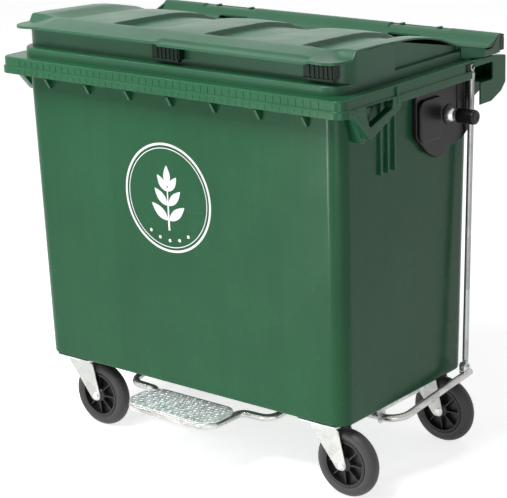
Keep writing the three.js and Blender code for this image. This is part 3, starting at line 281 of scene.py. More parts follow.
def mirrored(thing, name):
    mesh = thing.data.copy()
    copy = bpy.data.objects.new(name, mesh)
    made = bmesh.new()
    made.from_mesh(mesh)
    bmesh.ops.transform(made, matrix=Matrix.Scale(-1, 4, (1, 0, 0)), verts=made.verts)
    bmesh.ops.reverse_faces(made, faces=made.faces)
    made.to_mesh(mesh)
    made.free()
    bpy.context.scene.collection.objects.link(copy)
    return copy


def placed(thing, material, body, slot, *nodes):
    thing.data.materials.clear()
    thing.data.materials.append(material)
    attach(thing, body)
    if nodes:
        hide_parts(*nodes)
    return thing


def rounded(corners, facets=6):
    points = []
    for i, (x, y, radius) in enumerate(corners):
        if not radius:
            points.append((x, y))
            continue
        before, after = corners[i - 1], corners[(i + 1) % len(corners)]
        corner = Vector((x, y))
        back = (Vector(before[:2]) - corner).normalized()
        ahead = (Vector(after[:2]) - corner).normalized()
        half = math.acos(max(-1, min(1, back.dot(ahead)))) / 2
        centre = corner + (back + ahead).normalized() * (radius / math.sin(half))
        start = corner + back * (radius / math.tan(half)) - centre
        end = corner + ahead * (radius / math.tan(half)) - centre
        sweep = math.atan2(start.x * end.y - start.y * end.x, start.dot(end))
        for k in range(facets + 1):
            turn = Matrix.Rotation(sweep * k / facets, 2)
            points.append(tuple(centre + turn @ start))
    return points


def rectangle(half_width, front, rear, radius, facets=10):
    return rounded([
        (-half_width, -front, radius),
        (half_width, -front, radius),
        (half_width, rear, radius),
        (-half_width, rear, radius),
    ], facets)


def at_height(outline, z):
    return [(x, y, z) for x, y in outline]


def band_faces(count, rings, bands):
    # Four-sided faces between each ring of so many points and the next, the last ring's next being the first.
    faces = []
    for r in range(bands):
        low, high = r * count, ((r + 1) % rings) * count
        for i in range(count):
            j = (i + 1) % count
            faces.append((low + i, low + j, high + j, high + i))
    return faces


def loft(name, rings, closed=False):
    count = len(rings[0])
    faces = band_faces(count, len(rings), len(rings) - (0 if closed else 1))
    if not closed:
        faces.append(tuple(reversed(range(count))))
        last = (len(rings) - 1) * count
        faces.append(tuple(range(last, last + count)))
    return mesh_object(name, [p for ring in rings for p in ring], faces)


def prism(name, outline, axis, start, end):
    def lay(u, v, w):
        return {"x": (w, u, v), "y": (u, w, v), "z": (u, v, w)}[axis]

    return loft(name, [[lay(u, v, w) for u, v in outline] for w in (start, end)])


def block(name, x, y, z):
    return prism(name, [(x[0], y[0]), (x[1], y[0]), (x[1], y[1]), (x[0], y[1])], "z", *z)


def turned(name, profile, axis, centre, segments=48):
    rings = []
    for k in range(segments):
        angle = 2 * math.pi * k / segments
        u, v = math.cos(angle), math.sin(angle)
        ring = []
        for radius, along in profile:
            local = {
                "x": (along, radius * u, radius * v),
                "y": (radius * u, along, radius * v),
                "z": (radius * u, radius * v, along),
            }[axis]
            ring.append(tuple(c + d for c, d in zip(centre, local)))
        rings.append(ring)
    faces = band_faces(len(profile), segments, segments)
    return mesh_object(name, [p for ring in rings for p in ring], faces)


def cylinder(name, radius, axis, start, end, centre, segments=32):
    return turned(name, [(0, start), (radius, start), (radius, end), (0, end)], axis, centre, segments)


def route(corners, facets=8):
    places = [Vector(c[:3]) for c in corners]
    path = []
    for i, corner in enumerate(corners):
        bend = corner[3]
        if not bend:
            path.append(places[i])
            continue
        back = (places[i - 1] - places[i]).normalized()
        ahead = (places[i + 1] - places[i]).normalized()
        half = back.angle(ahead) / 2
        reach = bend / math.tan(half)
        centre = places[i] + (back + ahead).normalized() * (bend / math.sin(half))
        start = places[i] + back * reach - centre
        end = places[i] + ahead * reach - centre
        turn = start.cross(end).normalized()
        sweep = start.angle(end)
        for k in range(facets + 1):
            path.append(centre + Matrix.Rotation(sweep * k / facets, 3, turn) @ start)
    return path


def tube(name, corners, radius, segments=20, ends=2.0):
    path = route(corners)
    side = Vector((0, 0, 1))
    rings = []
    for i, place in enumerate(path):
        along = (path[min(i + 1, len(path) - 1)] - path[max(i - 1, 0)]).normalized()
        side = (side - along * side.dot(along)).normalized()
        across = along.cross(side)

        def ring(size, push=0.0):
            return [
                tuple(
                    place + along * push
                    + side * size * math.cos(2 * math.pi * k / segments)
                    + across * size * math.sin(2 * math.pi * k / segments)
                )
                for k in range(segments)
            ]

        if i == 0:
            rings.append(ring(radius - ends))
            rings.append(ring(radius, ends))
        elif i == len(path) - 1:
            rings.append(ring(radius, -ends))
            rings.append(ring(radius - ends))
        else:
            rings.append(ring(radius))
    return loft(name, rings)


# Tub
TUB_BOTTOM_Z = 221
RIM_BOTTOM_Z = 1106
RIM_HALF, RIM_FRONT, RIM_REAR, RIM_CORNER = 630, 362, 375, 34
BLOCK_FRONT_Y = 262
COMB_PITCH = 25
HINGE = (0, 395, 1175)
HINGE_X = 353
HINGE_SLOT_WIDTH = 84
TRUNNION = (0, 186, 1015)


def drafted(low, high, z):
    return low + (high - low) * (z - TUB_BOTTOM_Z) / (RIM_BOTTOM_Z - TUB_BOTTOM_Z)


def side_x(z):
    return drafted(566, 580, z)


def front_y(z):
    return -drafted(297.5, 306, z)


def tub_ring(z, inset, at=None):
    outline = rectangle(
        side_x(z) - inset, -front_y(z) - inset, drafted(305.5, 327, z) - inset, 45 - inset,
    )
    return at_height(outline, z if at is None else at)


def rim_ring(inset, z):
    outline = rectangle(RIM_HALF - inset, RIM_FRONT - inset, RIM_REAR - inset, RIM_CORNER - inset)
    return at_height(outline, z)


def arc(centre, radius, start, end, steps=4):
    return [
        (
            centre[0] + radius * math.cos(math.radians(start + (end - start) * k / steps)),
            centre[1] + radius * math.sin(math.radians(start + (end - start) * k / steps)),
        )
        for k in range(steps + 1)
    ]


def tub_wall():
    rings = [tub_ring(230, 9 - 9 * math.sin(a), 221 + 9 * (1 - math.cos(a))) for a in (
        math.pi / 2 * k / 5 for k in range(6)
    )]
    rings += [tub_ring(z, 0) for z in (300, 500, 700, 900, 1080, 1140, 1151)]
    rings.append(tub_ring(1151, 4.9))
    rings += [tub_ring(z, 5) for z in (1140, 900, 600, 300, 242)]
    rings += [tub_ring(242, 5 + 10 * (1 - math.cos(a)), 237 - 10 * math.sin(a)) for a in (
        math.pi / 2 * k / 4 for k in range(5)
    )]
    return loft("tub_wall", rings)


def rim():
    # Inset from the rim's outline and height, once round the channel's section.
    section = [(5, 1121), (5, 1108)]
    section += arc((3.0, 1108), 2, 0, -90, 3)
    section += arc((2.0, 1108), 2, -90, -180, 3)
    section += arc((3.4, 1124.6), 3.4, 180, 90, 4)
    section += arc((3.9, 1129.1), 1.1, -90, 0, 2)
    section += arc((10, 1150), 5, 180, 90, 5)
    rings = [rim_ring(inset, z) for inset, z in section]
    rings += [tub_ring(1155, 1, 1155), tub_ring(1155, 5, 1155), tub_ring(1150, 5, 1150)]
    rings += [tub_ring(1150, -2, 1150)]
    rings += [rim_ring(11, 1149), rim_ring(11, 1123)]
    shell = loft("rim", rings, closed=True)
    outline = rounded([
        (BLOCK_FRONT_Y, 1155, 0),
        (BLOCK_FRONT_Y, 1024, 4),
        (351, 1024, 8),
        (403, 1044, 8),
        (427, 1068, 8),
        (427, 1146, 4),
        (361, 1155, 30),
    ], 4)
    blocks = []
    hollows = []
    for side in (1, -1):
        xs = sorted((557 * side, 630 * side))
        blocks.append(smoothed(prism("block", outline, "x", *xs), 3, 3))
        xs = sorted((562 * side, 625 * side))
        room = [(222, 984), (422, 984), (422, 1141), (356, 1150), (222, 1150)]
        hollows.append(prism("hollow", room, "x", *xs))
    boolean(shell, blocks, "UNION")
    return boolean(shell, hollows)


def side_tools():
    tools = []
    for side in (1, -1):
        gap = rounded([
            (-260, 1124, 6), (-239.5, 1065, 7), (-136.6, 1098, 6), (-134, 1124, 6),
        ], 5)
        wide = sorted((604 * side, 670 * side))
        tools.append(prism("gap", gap, "x", *wide))
        outside = sorted((619 * side, 670 * side))
        window = rounded([(250, 1087, 0), (357, 1087, 6), (357, 1138, 6), (250, 1138, 0)], 4)
        tools.append(prism("window", window, "x", *outside))
        tools.append(block("notch", outside, (250, 293), (1000, 1138)))
        tools.append(block("slot", sorted((583 * side, 618 * side)), (253, 345), (1149, 1200)))
    return tools


def side_pieces():
    pieces = []
    for i in range(3):
        y = -129 + 32.5 * i
        rib = rounded([(y - 4, 906, 4), (y + 4, 906, 4), (y + 4, 1152, 0), (y - 4, 1152, 0)], 4)
        pieces.append(smoothed(prism("rib", rib, "x", 565, 586), 2))
    handle = rounded([
        (-304, 1112, 0), (-304, 1104, 10), (-238, 1030, 20), (-95, 1093, 8), (-95, 1112, 0),
    ], 6)
    gap = rounded([
        (-260, 1140, 0), (-260, 1122, 0), (-239.5, 1065, 7), (-136.6, 1098, 6), (-134, 1140, 0),
    ], 5)
    pieces.append(smoothed(boolean(
        prism("handle", handle, "x", 605, 629.6), [prism("gap", gap, "x", 590, 650)],
    ), 3, 3))
    web = rounded([(-274, 1112, 0), (-238, 988, 12), (-202, 1112, 0)], 5)
    pieces.append(smoothed(prism("web", web, "x", 576, 606), 2.5, 3))
    pieces.append(smoothed(block("post", (612, 632), (-116, -107), (1104, 1150)), 2.5, 3))
    pieces.append(smoothed(block("sill", (559, 629), (324, 425.5), (1081, 1087)), 1.5))
    for x in (318, 388):
        ear = rounded([
            (355, 1151, 0), (362, 1162, 6), (384, 1186, 12), (405.5, 1186, 14),
            (410, 1164, 10), (374, 1111, 4),
        ], 6)
        start = x if x < HINGE_X else x - 9
        pieces.append(smoothed(prism("ear", ear, "x", start, start + 9), 1.5))
    pieces.append(smoothed(cylinder("ear_tube", 13, "x", 320, 386, HINGE), 1))
    pieces.append(smoothed(block("ear_web", (326, 380), (360, 384), (1150, 1172)), 2))
    return pieces


def comb():
    # Fine ribs on the two bands of the rim's front.
    ribs = []
    for i in range(-22, 23):
        x = i * COMB_PITCH
        ribs.append(smoothed(block("rib", (x - 2.4, x + 2.4), (-358.6, -355), (1131, 1146.5)), 0.9))
        ribs.append(smoothed(block("rib", (x - 2.4, x + 2.4), (-363.2, -360), (1110, 1121)), 0.9))
    return joined(ribs, "comb")


def tub():
    wall = smoothed(tub_wall())
    placed(wall, GREEN, "container", "tub_plastic", "body_tub")
    top = boolean(rim(), side_tools())
    top = smoothed(top)
    # The rim, its side pieces, gussets and comb take the lighter copy of the tub's green: painted light.
    placed(top, RIM_LIT_GREEN, "container", "tub_plastic", "body_tub")
    right = joined(side_pieces(), "side_right")
    left = mirrored(right, "side_left")
    for thing in (right, left):
        placed(thing, RIM_LIT_GREEN, "container", "tub_plastic", "body_tub")
    webs = []
    for i in range(-3, 4):
        x = i * 158
        for points in (
            [(-304, 1149, 0), (-354, 1149, 0), (-359, 1108, 0), (-330, 1094, 10), (-304, 1050, 5)],
            [(325, 1149, 0), (367, 1149, 0), (372, 1108, 0), (348, 1094, 10), (325, 1050, 5)],
        ):
            webs.append(smoothed(prism("web", rounded(points, 4), "x", x - 4.5, x + 4.5), 1.2))
    placed(joined(webs, "gussets"), RIM_LIT_GREEN, "container", "tub_plastic", "body_tub")
    placed(comb(), RIM_LIT_GREEN, "container", "tub_plastic", "body_tub")


tub()


# Sign on the front wall: a ring round a sprig with leaves, printed on a thin film.
def on_front(name, outlines, proud=0.5):
    things = []
    for outline in outlines:
        front = [(x, front_y(z) - proud, z) for x, z in outline]
        rear = [(x, front_y(z) + 1, z) for x, z in outline]
        things.append(loft(name, [rear, front]))
    return joined(things, name)


def circle(x, z, radius, segments=96):
    return [
        (
            x + radius * math.cos(2 * math.pi * k / segments),
            z + radius * math.sin(2 * math.pi * k / segments),
        )
        for k in range(segments)
    ]


def ring_band(name, x, z, outer, inner, proud=0.5):
    points = []
    count = 120
    for radius, depth in ((outer, 1), (outer, -proud), (inner, -proud), (inner, 1)):
        for px, pz in circle(x, z, radius, count):
            points.append((px, front_y(pz) + depth, pz))
    return mesh_object(name, points, band_faces(count, 4, 4))


def leaf(x, z, length, width, angle):
    points = []
    steps = 14
    for k in range(steps + 1):
        t = k / steps
        points.append((t * length, width * math.sin(math.pi * t) ** 0.8 * (1 - 0.35 * t)))
    for k in range(steps - 1, 0, -1):
        t = k / steps
        points.append((t * length, -width * math.sin(math.pi * t) ** 0.8 * (1 - 0.35 * t)))
    c, s = math.cos(angle), math.sin(angle)
    return [(x + u * c - v * s, z + u * s + v * c) for u, v in points]


def sign():
    x, z = -36, 793
    parts = [ring_band("sign", x, z, 161, 154), ring_band("sign", x, z, 147, 144.5)]
    shapes = [[(x - 3.5, z - 96), (x + 3.5, z - 96), (x + 2, z + 30), (x - 2, z + 30)]]
    for i, height in enumerate((-52, -8, 34)):
        length = 74 - 9 * i
        for side in (1, -1):
            lean = math.radians(90 - side * (52 - 8 * i))
            shapes.append(leaf(x + side * 3, z + height - 14, length, 17 - 1.5 * i, lean))
    shapes.append(leaf(x, z + 34, 62, 15, math.radians(90)))
    for k in range(5):
        angle = math.radians(-90 + (k - 2) * 17)
        shapes.append(circle(x + 126 * math.cos(angle), z + 126 * math.sin(angle), 5, 24))
    parts.append(on_front("sign", shapes))
    thing = smoothed(joined(parts, "sign"))
    placed(thing, WHITE, "container", "tub_plastic")


sign()


# Lid
LIP_Y = -345
BAR_Y = 417
SPAN = BAR_Y - LIP_Y
ROWS = [
    (0.0, 66, 0.0, 1.03), (0.072, 78, 0.0, 1.03), (0.109, 82.8, 0.15, 1.03), (0.184, 83.5, 1.0, 1.0),
    (0.374, 77, 1.0, 0.94), (0.505, 70, 1.0, 0.88), (0.65, 49, 1.0, 0.80), (0.706, 34, 0.95, 0.77),
    (0.761, 18, 0.8, 0.74), (0.833, 5, 0.4, 0.70), (0.885, -3, 0.0, 0.70), (0.906, -3, 0.0, 0.70),
]
TROUGH_Z = 1184
CHANNEL_DEPTH = 16
RECESS_X, RECESS_Y, RECESS_DEPTH = (254, 465), (374, 411), 5
EDGE_DROP = 0.48


def smooth_step(low, high, value):
    t = max(0.0, min(1.0, (value - low) / (high - low)))
    return t * t * (3 - 2 * t)


def within(bounds, slope, value):
    # One between the bounds and zero outside them, with a slope of the given width inside each.
    low, high = bounds
    return smooth_step(low, low + slope, value) * (1 - smooth_step(high - slope, high, value))


def along_rows(share, column):
    # A Catmull-Rom curve through one column of the table.
    last = len(ROWS) - 1
    for k in range(last):
        if share <= ROWS[k + 1][0] or k == last - 1:
            a, b = ROWS[k], ROWS[k + 1]
            before, after = ROWS[max(k - 1, 0)], ROWS[min(k + 2, last)]
            t = max(0.0, min(1.0, (share - a[0]) / (b[0] - a[0])))
            gap = b[0] - a[0]
            m0 = (b[column] - before[column]) / max(b[0] - before[0], 1e-6) * gap
            m1 = (after[column] - a[column]) / max(after[0] - a[0], 1e-6) * gap
            return (
                (2 * t**3 - 3 * t**2 + 1) * a[column] + (t**3 - 2 * t**2 + t) * m0
                + (-2 * t**3 + 3 * t**2) * b[column] + (t**3 - t**2) * m1
            )
    return 0


def roof_z(x, y):
    share = (y - LIP_Y) / SPAN
    reach = abs(x)
    if share > 0.906:
        rise = 31 * smooth_step(347, 391, y) - 5 * smooth_step(398, 417, y) - 3
        return TROUGH_Z + rise - RECESS_DEPTH * within(RECESS_X, 2, reach) * within(RECESS_Y, 3, y)
    height = along_rows(share, 1)
    sink = max(0.0, along_rows(share, 2))
    pad = 80 * along_rows(share, 3)
    # Start of each channel: blunt, a little behind the lip.
    sink *= smooth_step(-262, -246, y)
    depth = 0.0
    if reach < 542:
        off = min(abs(reach - centre) for centre in (0, 340))
        depth = CHANNEL_DEPTH * smooth_step(pad - 1, pad + 6, off) + 2 * min(1, off / pad) ** 2
        depth = min(depth, CHANNEL_DEPTH)
        if reach > 340:
            depth *= 1 - smooth_step(505, 542, reach)
    # The front apron lies lower towards the sides, and the dome steps up from it there.
    apron = (1 - smooth_step(-262, -244, y)) * smooth_step(470, 570, reach)
    height -= apron * max(0.0, height - 63)
    # Shallow hand recess in the lip's front edge.
    dip = 5 * (1 - smooth_step(-326, -318, y))
    dip *= smooth_step(-18, -8, x) * (1 - smooth_step(498, 508, x))
    return TROUGH_Z + height - depth * sink - dip


def roof_half(y):
    if y < LIP_Y + 56:
        drop = LIP_Y + 56 - y
        return 538 + math.sqrt(max(0.0, 56**2 - drop**2))
    if y < -200:
        return 594
    if y < 256:
        return 594 - 4 * smooth_step(-200, -150, y)
    if y < 312:
        return 590 + 40 * (y - 256) / 56
    return 630


def roof_sheet():
    columns = []
    for centre in (-340, 0, 340):
        for offset in (
            -96, -90, -88, -86, -84, -82, -80, -78, -76, -74, -72, -69, -66, -63, -60, -57, -54,
            -50, -44, -30, -15, 0,
        ):
            columns += [centre + offset, centre - offset]
    columns += [-530, -500, -470, -445, 445, 470, 500, 530, -18, -13, -8, 498, 503, 508]
    columns += [-225, -170, 170, 225]
    columns += [side * x for side in (-1, 1) for x in (253.5, 256.5, 462.5, 465.5)]
    columns = sorted(set(columns))
    fractions = (0.25, 0.5, 0.72, 0.88, 0.96, 1.0)
    lines = sorted(set(
        [LIP_Y + 56 * (1 - math.cos(math.pi / 2 * k / 9)) for k in range(10)]
        + [-326, -322, -318, -275, -268, -262, -258, -254, -250, -246, -242, -235, -225, -210]
        + [-190 + 14 * k for k in range(32)] + [256, 270, 284, 298, 312]
        + [321, 329, 335, 340, 346, 352, 358, 364, 369, 373.5, 377.5]
        + [383, 389, 395, 401, 407.5, 411.5, 415.5]
    ))
    rows = []
    for y in lines:
        half = roof_half(y)
        xs = [-530 - (half - 530) * f for f in reversed(fractions)] + [
            max(-530, min(530, x)) for x in columns
        ] + [530 + (half - 530) * f for f in fractions]
        rows.append([(x, y, roof_z(x, y)) for x in xs])
    count = len(rows[0])

    def thick(y):
        return 7 - 2 * smooth_step(-215, -200, y)

    # The upper side, a little lower along both side edges, then the lower side and the edges between.
    points, faces = [], []
    for row in rows:
        for k, (x, y, z) in enumerate(row):
            points.append((x, y, z - (EDGE_DROP if k in (0, count - 1) else 0)))
    for r in range(len(rows) - 1):
        for k in range(count - 1):
            a = r * count + k
            faces.append((a, a + 1, a + 1 + count, a + count))
    base = len(points)
    for row in rows:
        for x, y, z in row:
            points.append((x, y, z - thick(y)))
    for r in range(len(rows) - 1):
        for k in range(count - 1):
            a = base + r * count + k
            faces.append((a, a + count, a + 1 + count, a + 1))
    for k in range(count - 1):
        faces.append((k + 1, k, base + k, base + k + 1))
        a = (len(rows) - 1) * count + k
        b = base + a
        faces.append((a, a + 1, b + 1, b))
    for r in range(len(rows) - 1):
        a, b = r * count, (r + 1) * count
        faces.append((a, b, base + b, base + a))
        a, b = a + count - 1, b + count - 1
        faces.append((b, a, base + a, base + b))
    roof = mesh_object("lid_roof", points, faces)
    openings = [
        block("opening", sorted((268 * side, 378 * side)), (334, 362), (1150, 1230)) for side in (1, -1)
    ]
    return smoothed(boolean(roof, openings), 1.6, 3, 50)


def wall_plan(inset):
    right = [
        (590 - inset, -290 + inset, 56 - inset),
        (590 - inset, -64 - inset, 5),
        (574 - inset, -64 - inset, 3),
        (574 - inset, 256 + inset, 3),
        (590 - inset, 256 + inset, 3),
        (630 - inset, 312 + inset, 6),
        (630 - inset, HINGE[1] - 1.4, 0),
        (630 - inset, HINGE[1] - 0.6, 0),
        (630 - inset, 417 - inset, 4),
    ]
    left = [(-x, y, r) for x, y, r in reversed(right)]
    return rounded(left + right, 6)


def lid_walls():
    outer = wall_plan(0)
    inner = wall_plan(5)

    def foot(y):
        # Higher behind the hinge, to clear the rim as the lid opens.
        if y > HINGE[1] - 1:
            return 1167.5
        return 1158 if y > 254 else 1178

    def head(x, y):
        limit = min(y, 410)
        bound = max(-589, min(589, x)) if limit < 256 else x
        return roof_z(bound, limit) - (8 if y < -200 else 3)

    points = [(x, y, foot(y)) for x, y in outer] + [(x, y, head(x, y)) for x, y in outer]
    points += [(x, y, head(x, y)) for x, y in inner] + [(x, y, foot(y)) for x, y in inner]
    walls = mesh_object("lid_walls", points, band_faces(len(outer), 4, 4))
    # Slots in the rear wall for the tub's hinge ears.
    half = HINGE_SLOT_WIDTH / 2
    slots = [
        block("slot", (side * HINGE_X - half, side * HINGE_X + half), (372, 430), (1150, 1202))
        for side in (1, -1)
    ]
    return smoothed(boolean(walls, slots))


def lid_tray():
    def ring(inset, z):
        return at_height(rectangle(587 - inset, 322 - inset, 348 - inset, 62 - inset, 12), z)

    section = [(5, 1155.4), (0, 1155.4)] + arc((5, 1176), 5, 180, 90, 5) + [(24, 1182), (40, 1181)]
    section += [(40, 1176), (5, 1176)]
    return smoothed(loft("lid_tray", [ring(inset, z) for inset, z in section], closed=True))


def grips():
    pieces = []
    for x in (-10, 520):
        pieces.append(block("grip", (x - 50, x + 50), (-312, -288), (1198, 1236)))
        for k in range(1, 7):
            centre = x - 45 + 14.5 * k
            pieces.append(smoothed(
                block("grip_rib", (centre - 3, centre + 3), (-315, -311), (1198, 1232)), 1,
            ))
        pieces.append(smoothed(block("shelf", (x - 50, x + 50), (-317, -300), (1192, 1199)), 2))
    return smoothed(joined(pieces, "lid_grips"))


def lid_details():
    pieces = []
    for x, lift in ((-15, -2), (506, -6)):
        pieces.append(turned(
            "stud", [(0, 1246), (7, 1246), (6.4, 1249.5), (4, 1251.6), (0, 1252.2)], "z",
            (x, -332, lift), 24,
        ))
    for side in (1, -1):
        for x in (287, 419):
            pieces.append(smoothed(cylinder(
                "boss", 18, "x", side * x - 24, side * x + 24, HINGE, 40,
            ), 1.5))
            pieces.append(smoothed(block(
                "boss_web", (side * x - 5, side * x + 5), (395, 414), (1176, 1212),
            ), 1))
    lug = rounded([
        (271, 1176, 0), (271, 1126, 8), (278, 1118, 8), (292, 1118, 8), (299, 1126, 8), (299, 1176, 0),
    ], 5)
    for side in (1, -1):
        pieces.append(smoothed(prism("lug", lug, "x", *sorted((588 * side, 596 * side))), 1.5))
    return pieces


def lid():
    placed(roof_sheet(), LID_GREEN, "lid", "lid_plastic", "lid")
    placed(lid_walls(), LID_GREEN, "lid", "lid_plastic", "lid")
    placed(lid_tray(), LID_GREEN, "lid", "lid_plastic", "lid")
    placed(smoothed(joined(lid_details(), "lid_details")), LID_GREEN, "lid", "lid_plastic", "lid")
    # The grips under the lip get the painted shade material.
    placed(grips(), GRIP_PAINTED_SHADE, "lid", "lid_plastic", "lid")
    # Thin black caps on the bar's two ends: painted shade standing in for the dark hollow inside the bar's
    # open ends.
    shade_cap = rounded([(393, 1163, 3), (414.5, 1163, 3), (414.5, 1203, 7), (393, 1203, 7)], 4)
    shade_caps = [smoothed(prism("shade_cap", shade_cap, "x", *sorted((628 * side, 631 * side))), 0.8) for side in (1, -1)]
    placed(joined(shade_caps, "lid_end_painted_shade"), BLACK, "lid", "lid_plastic", "lid")


lid()


# Trunnions
def pair(thing, name, material, body, slot, node):
    thing.name = name + "_right"
    left = mirrored(thing, name + "_left")
    bodies = (body, body) if isinstance(body, str) else body
    placed(thing, material, bodies[0], slot, node + "_right")
    placed(left, material, bodies[1], slot, node + "_left")


def trunnions():
    plate = prism("plate", rounded([
        (26, 1102, 6), (26, 978, 30), (80, 926, 30), (131, 900, 14), (153, 900, 14),
        (176, 921, 20), (248, 928, 40), (304, 962, 14), (304, 1102, 6),
    ], 6), "x", 576, 593.5)
    plate = smoothed(plate, 3, 3)
    pad = prism("pad", rounded([
        (32, 959, 26), (135, 959, 10), (135, 1079, 10), (32, 1079, 26),
    ], 8), "x", 592, 603.4)
    pad = smoothed(pad, 4, 4)
    pieces = [plate, pad]
    for y in (186, 220, 254):
        pieces.append(smoothed(block("rib", (593, 596), (y + 40, y + 45), (1000, 1098)), 1.5))
    collar = turned("collar", [
        (21.5, 593), (29, 593), (29, 595.5), (27, 597.5), (21.5, 597.5),
    ], "x", TRUNNION)
    pieces.append(smoothed(collar))
    pair(joined(pieces), "trunnion_bracket", BLACK, "container", "dark_plastic", "trunnion_plate")
    pin = turned("pin", [
        (0, 555), (10, 555), (10, 593.9), (19.5, 593.9), (21, 596), (21.2, 600), (20, 605), (17.5, 609.5),
        (15, 612.5), (14.2, 614), (14.2, 625.8), (13, 625.8), (13, 679.5), (0, 679.5),
    ], "x", TRUNNION)
    pair(smoothed(pin), "trunnion_core", STEEL, "container", "bright_steel", "trunnion_pin")
    sleeve = turned("sleeve", [
        (0, 680), (13.3, 680), (13.3, 626.2), (19.5, 626.2), (21, 628), (21, 676.5), (20.4, 680.5),
        (18.6, 683.4), (15.8, 685), (9, 685), (7.5, 683.4), (0, 683.4),
    ], "x", TRUNNION)
    pair(smoothed(sleeve), "trunnion_cover", BLACK, "container", "dark_plastic", "trunnion_sleeve")


trunnions()


# Castors, about the swivel line; the wheel trails to +X.
CASTOR_TRAIL = 67
WHEEL_RADIUS = 100


def castor_plate():
    z = TUB_BOTTOM_Z - 0.3
    plate = smoothed(prism("plate", rectangle(70, 58, 58, 12, 5), "z", z - 5, z), 0.8)
    race = smoothed(turned("race", [
        (8.6, z - 5), (37, z - 5), (37, z - 7.4), (34.5, z - 9.7), (8.6, z - 9.7),
    ], "z", (0, 0, 0)))
    return joined([plate, race])


def castor_fork():
    def leg(inner, outer):
        outline = rounded([
            (-42, 206, 2), (-42, 197, 6), (50, 83, 16), (84, 83, 16), (56, 200, 6), (42, 206, 2),
        ], 7)
        return prism("leg", outline, "y", inner, outer)

    pieces = [smoothed(prism("top", rectangle(42, 31, 31, 5, 4), "z", 202, 206), 1)]
    for side in (1, -1):
        pieces.append(smoothed(leg(*sorted((27 * side, 32.2 * side))), 2.2, 3))
    pieces.append(smoothed(turned("race", [
        (8.6, 205), (37, 205), (37, 208), (35, 210.6), (8.6, 210.6),
    ], "z", (0, 0, 0))))
    return joined(pieces)


def castor_studs():
    pieces = [smoothed(prism("plate", rectangle(62, 37, 37, 8, 4), "z", 227.3, 230.3), 0.6)]
    for x in (-54, 54):
        for y in (-29, 29):
            pieces.append(cylinder("stud", 4.4, "z", 210.2, 229, (x, y, 0), 20))
            pieces.append(smoothed(cylinder("nut", 8, "z", 209.5, 215.3, (x, y, 0), 6), 0.6))
            pieces.append(smoothed(cylinder("head", 7.5, "z", 229.5, 233, (x, y, 0), 24), 0.8))
    return joined(pieces)


def castor_tyre():
    # Half profile of radius and place across, then its mirror image.
    half = [(70.3, 20), (73, 21.6), (78, 23), (84, 22.4), (90, 19.6), (95.2, 15), (98.6, 9), (99.8, 4)]
    profile = half + [(100, 0)] + [(r, -y) for r, y in reversed(half)]
    return smoothed(turned("tyre", profile, "y", (0, 0, 0), 72))


def castor_hub():
    pieces = [turned("rim", [
        (61, 20), (62, 21.6), (69.7, 21.6), (69.7, -21.6), (62, -21.6), (61, -20), (61, -6), (61, 6),
    ], "y", (0, 0, 0), 72)]
    pieces.append(turned("web", [(20, 3.5), (62, 3.5), (62, -3.5), (20, -3.5)], "y", (0, 0, 0), 48))
    pieces.append(turned("boss", [
        (6.4, 26.6), (14, 26.6), (16, 25), (21, 20), (22.5, 8), (22.5, -8), (21, -20), (16, -25),
        (14, -26.6), (6.4, -26.6),
    ], "y", (0, 0, 0), 48))
    for k in range(8):
        angle = math.pi * k / 4
        for side in (1, -1):
            spoke = prism("spoke", [
                (20, 2 * side), (62, 2 * side), (62, 15 * side), (42, 17.5 * side), (20, 20 * side),
            ], "z", -2.2, 2.2)
            turn = Matrix.Rotation(angle, 4, (0, 1, 0))
            shift = Matrix.Translation((0, SHIFT_Y * MM, 0))
            spoke.data.transform(shift @ turn @ shift.inverted())
            pieces.append(spoke)
    return smoothed(joined(pieces), 0.9)


def castor_axle():
    pieces = [cylinder("axle", 5.9, "y", -33, 33, (0, 0, 0), 24)]
    for side in (1, -1):
        start = 32.4 * side
        middle, end = start + 1.2 * side, start + 6 * side
        pieces.append(smoothed(cylinder("washer", 11, "y", start, middle, (0, 0, 0), 28), 0.2))
        pieces.append(smoothed(cylinder("nut", 9.6, "y", middle, end, (0, 0, 0), 6), 0.6))
    return joined(pieces)


def castors():
    pieces = {
        "castor_top_plate": (castor_plate(), ZINC, "galvanised_steel", "container"),
        "castor_fork": (castor_fork(), FORK_ZINC, "galvanised_steel", "fork_"),
        "castor_studs": (castor_studs(), ZINC, "galvanised_steel", "container"),
        "castor_tyre": (castor_tyre(), RUBBER, "tyre_rubber", "wheel_"),
        "castor_hub": (castor_hub(), HUB_BLACK, "dark_plastic", "wheel_"),
        "castor_axle": (castor_axle(), STEEL, "bright_steel", "fork_"),
    }
    for name, x, y in (
        ("front_right", 469, -238), ("front_left", -469, -238),
        ("rear_right", 469, 245), ("rear_left", -469, 245),
    ):
        for node, (model, material, slot, body) in pieces.items():
            thing = bpy.data.objects.new(f"{node}_{name}_look", model.data.copy())
            bpy.context.scene.collection.objects.link(thing)
            place = Vector((x * MM, y * MM, 0))
            if node in ("castor_tyre", "castor_hub", "castor_axle"):
                place += Vector((CASTOR_TRAIL * MM, 0, WHEEL_RADIUS * MM))
            thing.data.transform(Matrix.Translation(place))
            rides = body if body == "container" else body + name
            placed(thing, material, rides, slot, f"{node}_{name}")
    for model, *_ in pieces.values():
        bpy.data.objects.remove(model)


castors()


# Pedal frame and rods
PIVOT_Y, PIVOT_Z = -92, 188
TREAD_FRONT, TREAD_REAR, TREAD_CORNER = -402, -258, 55


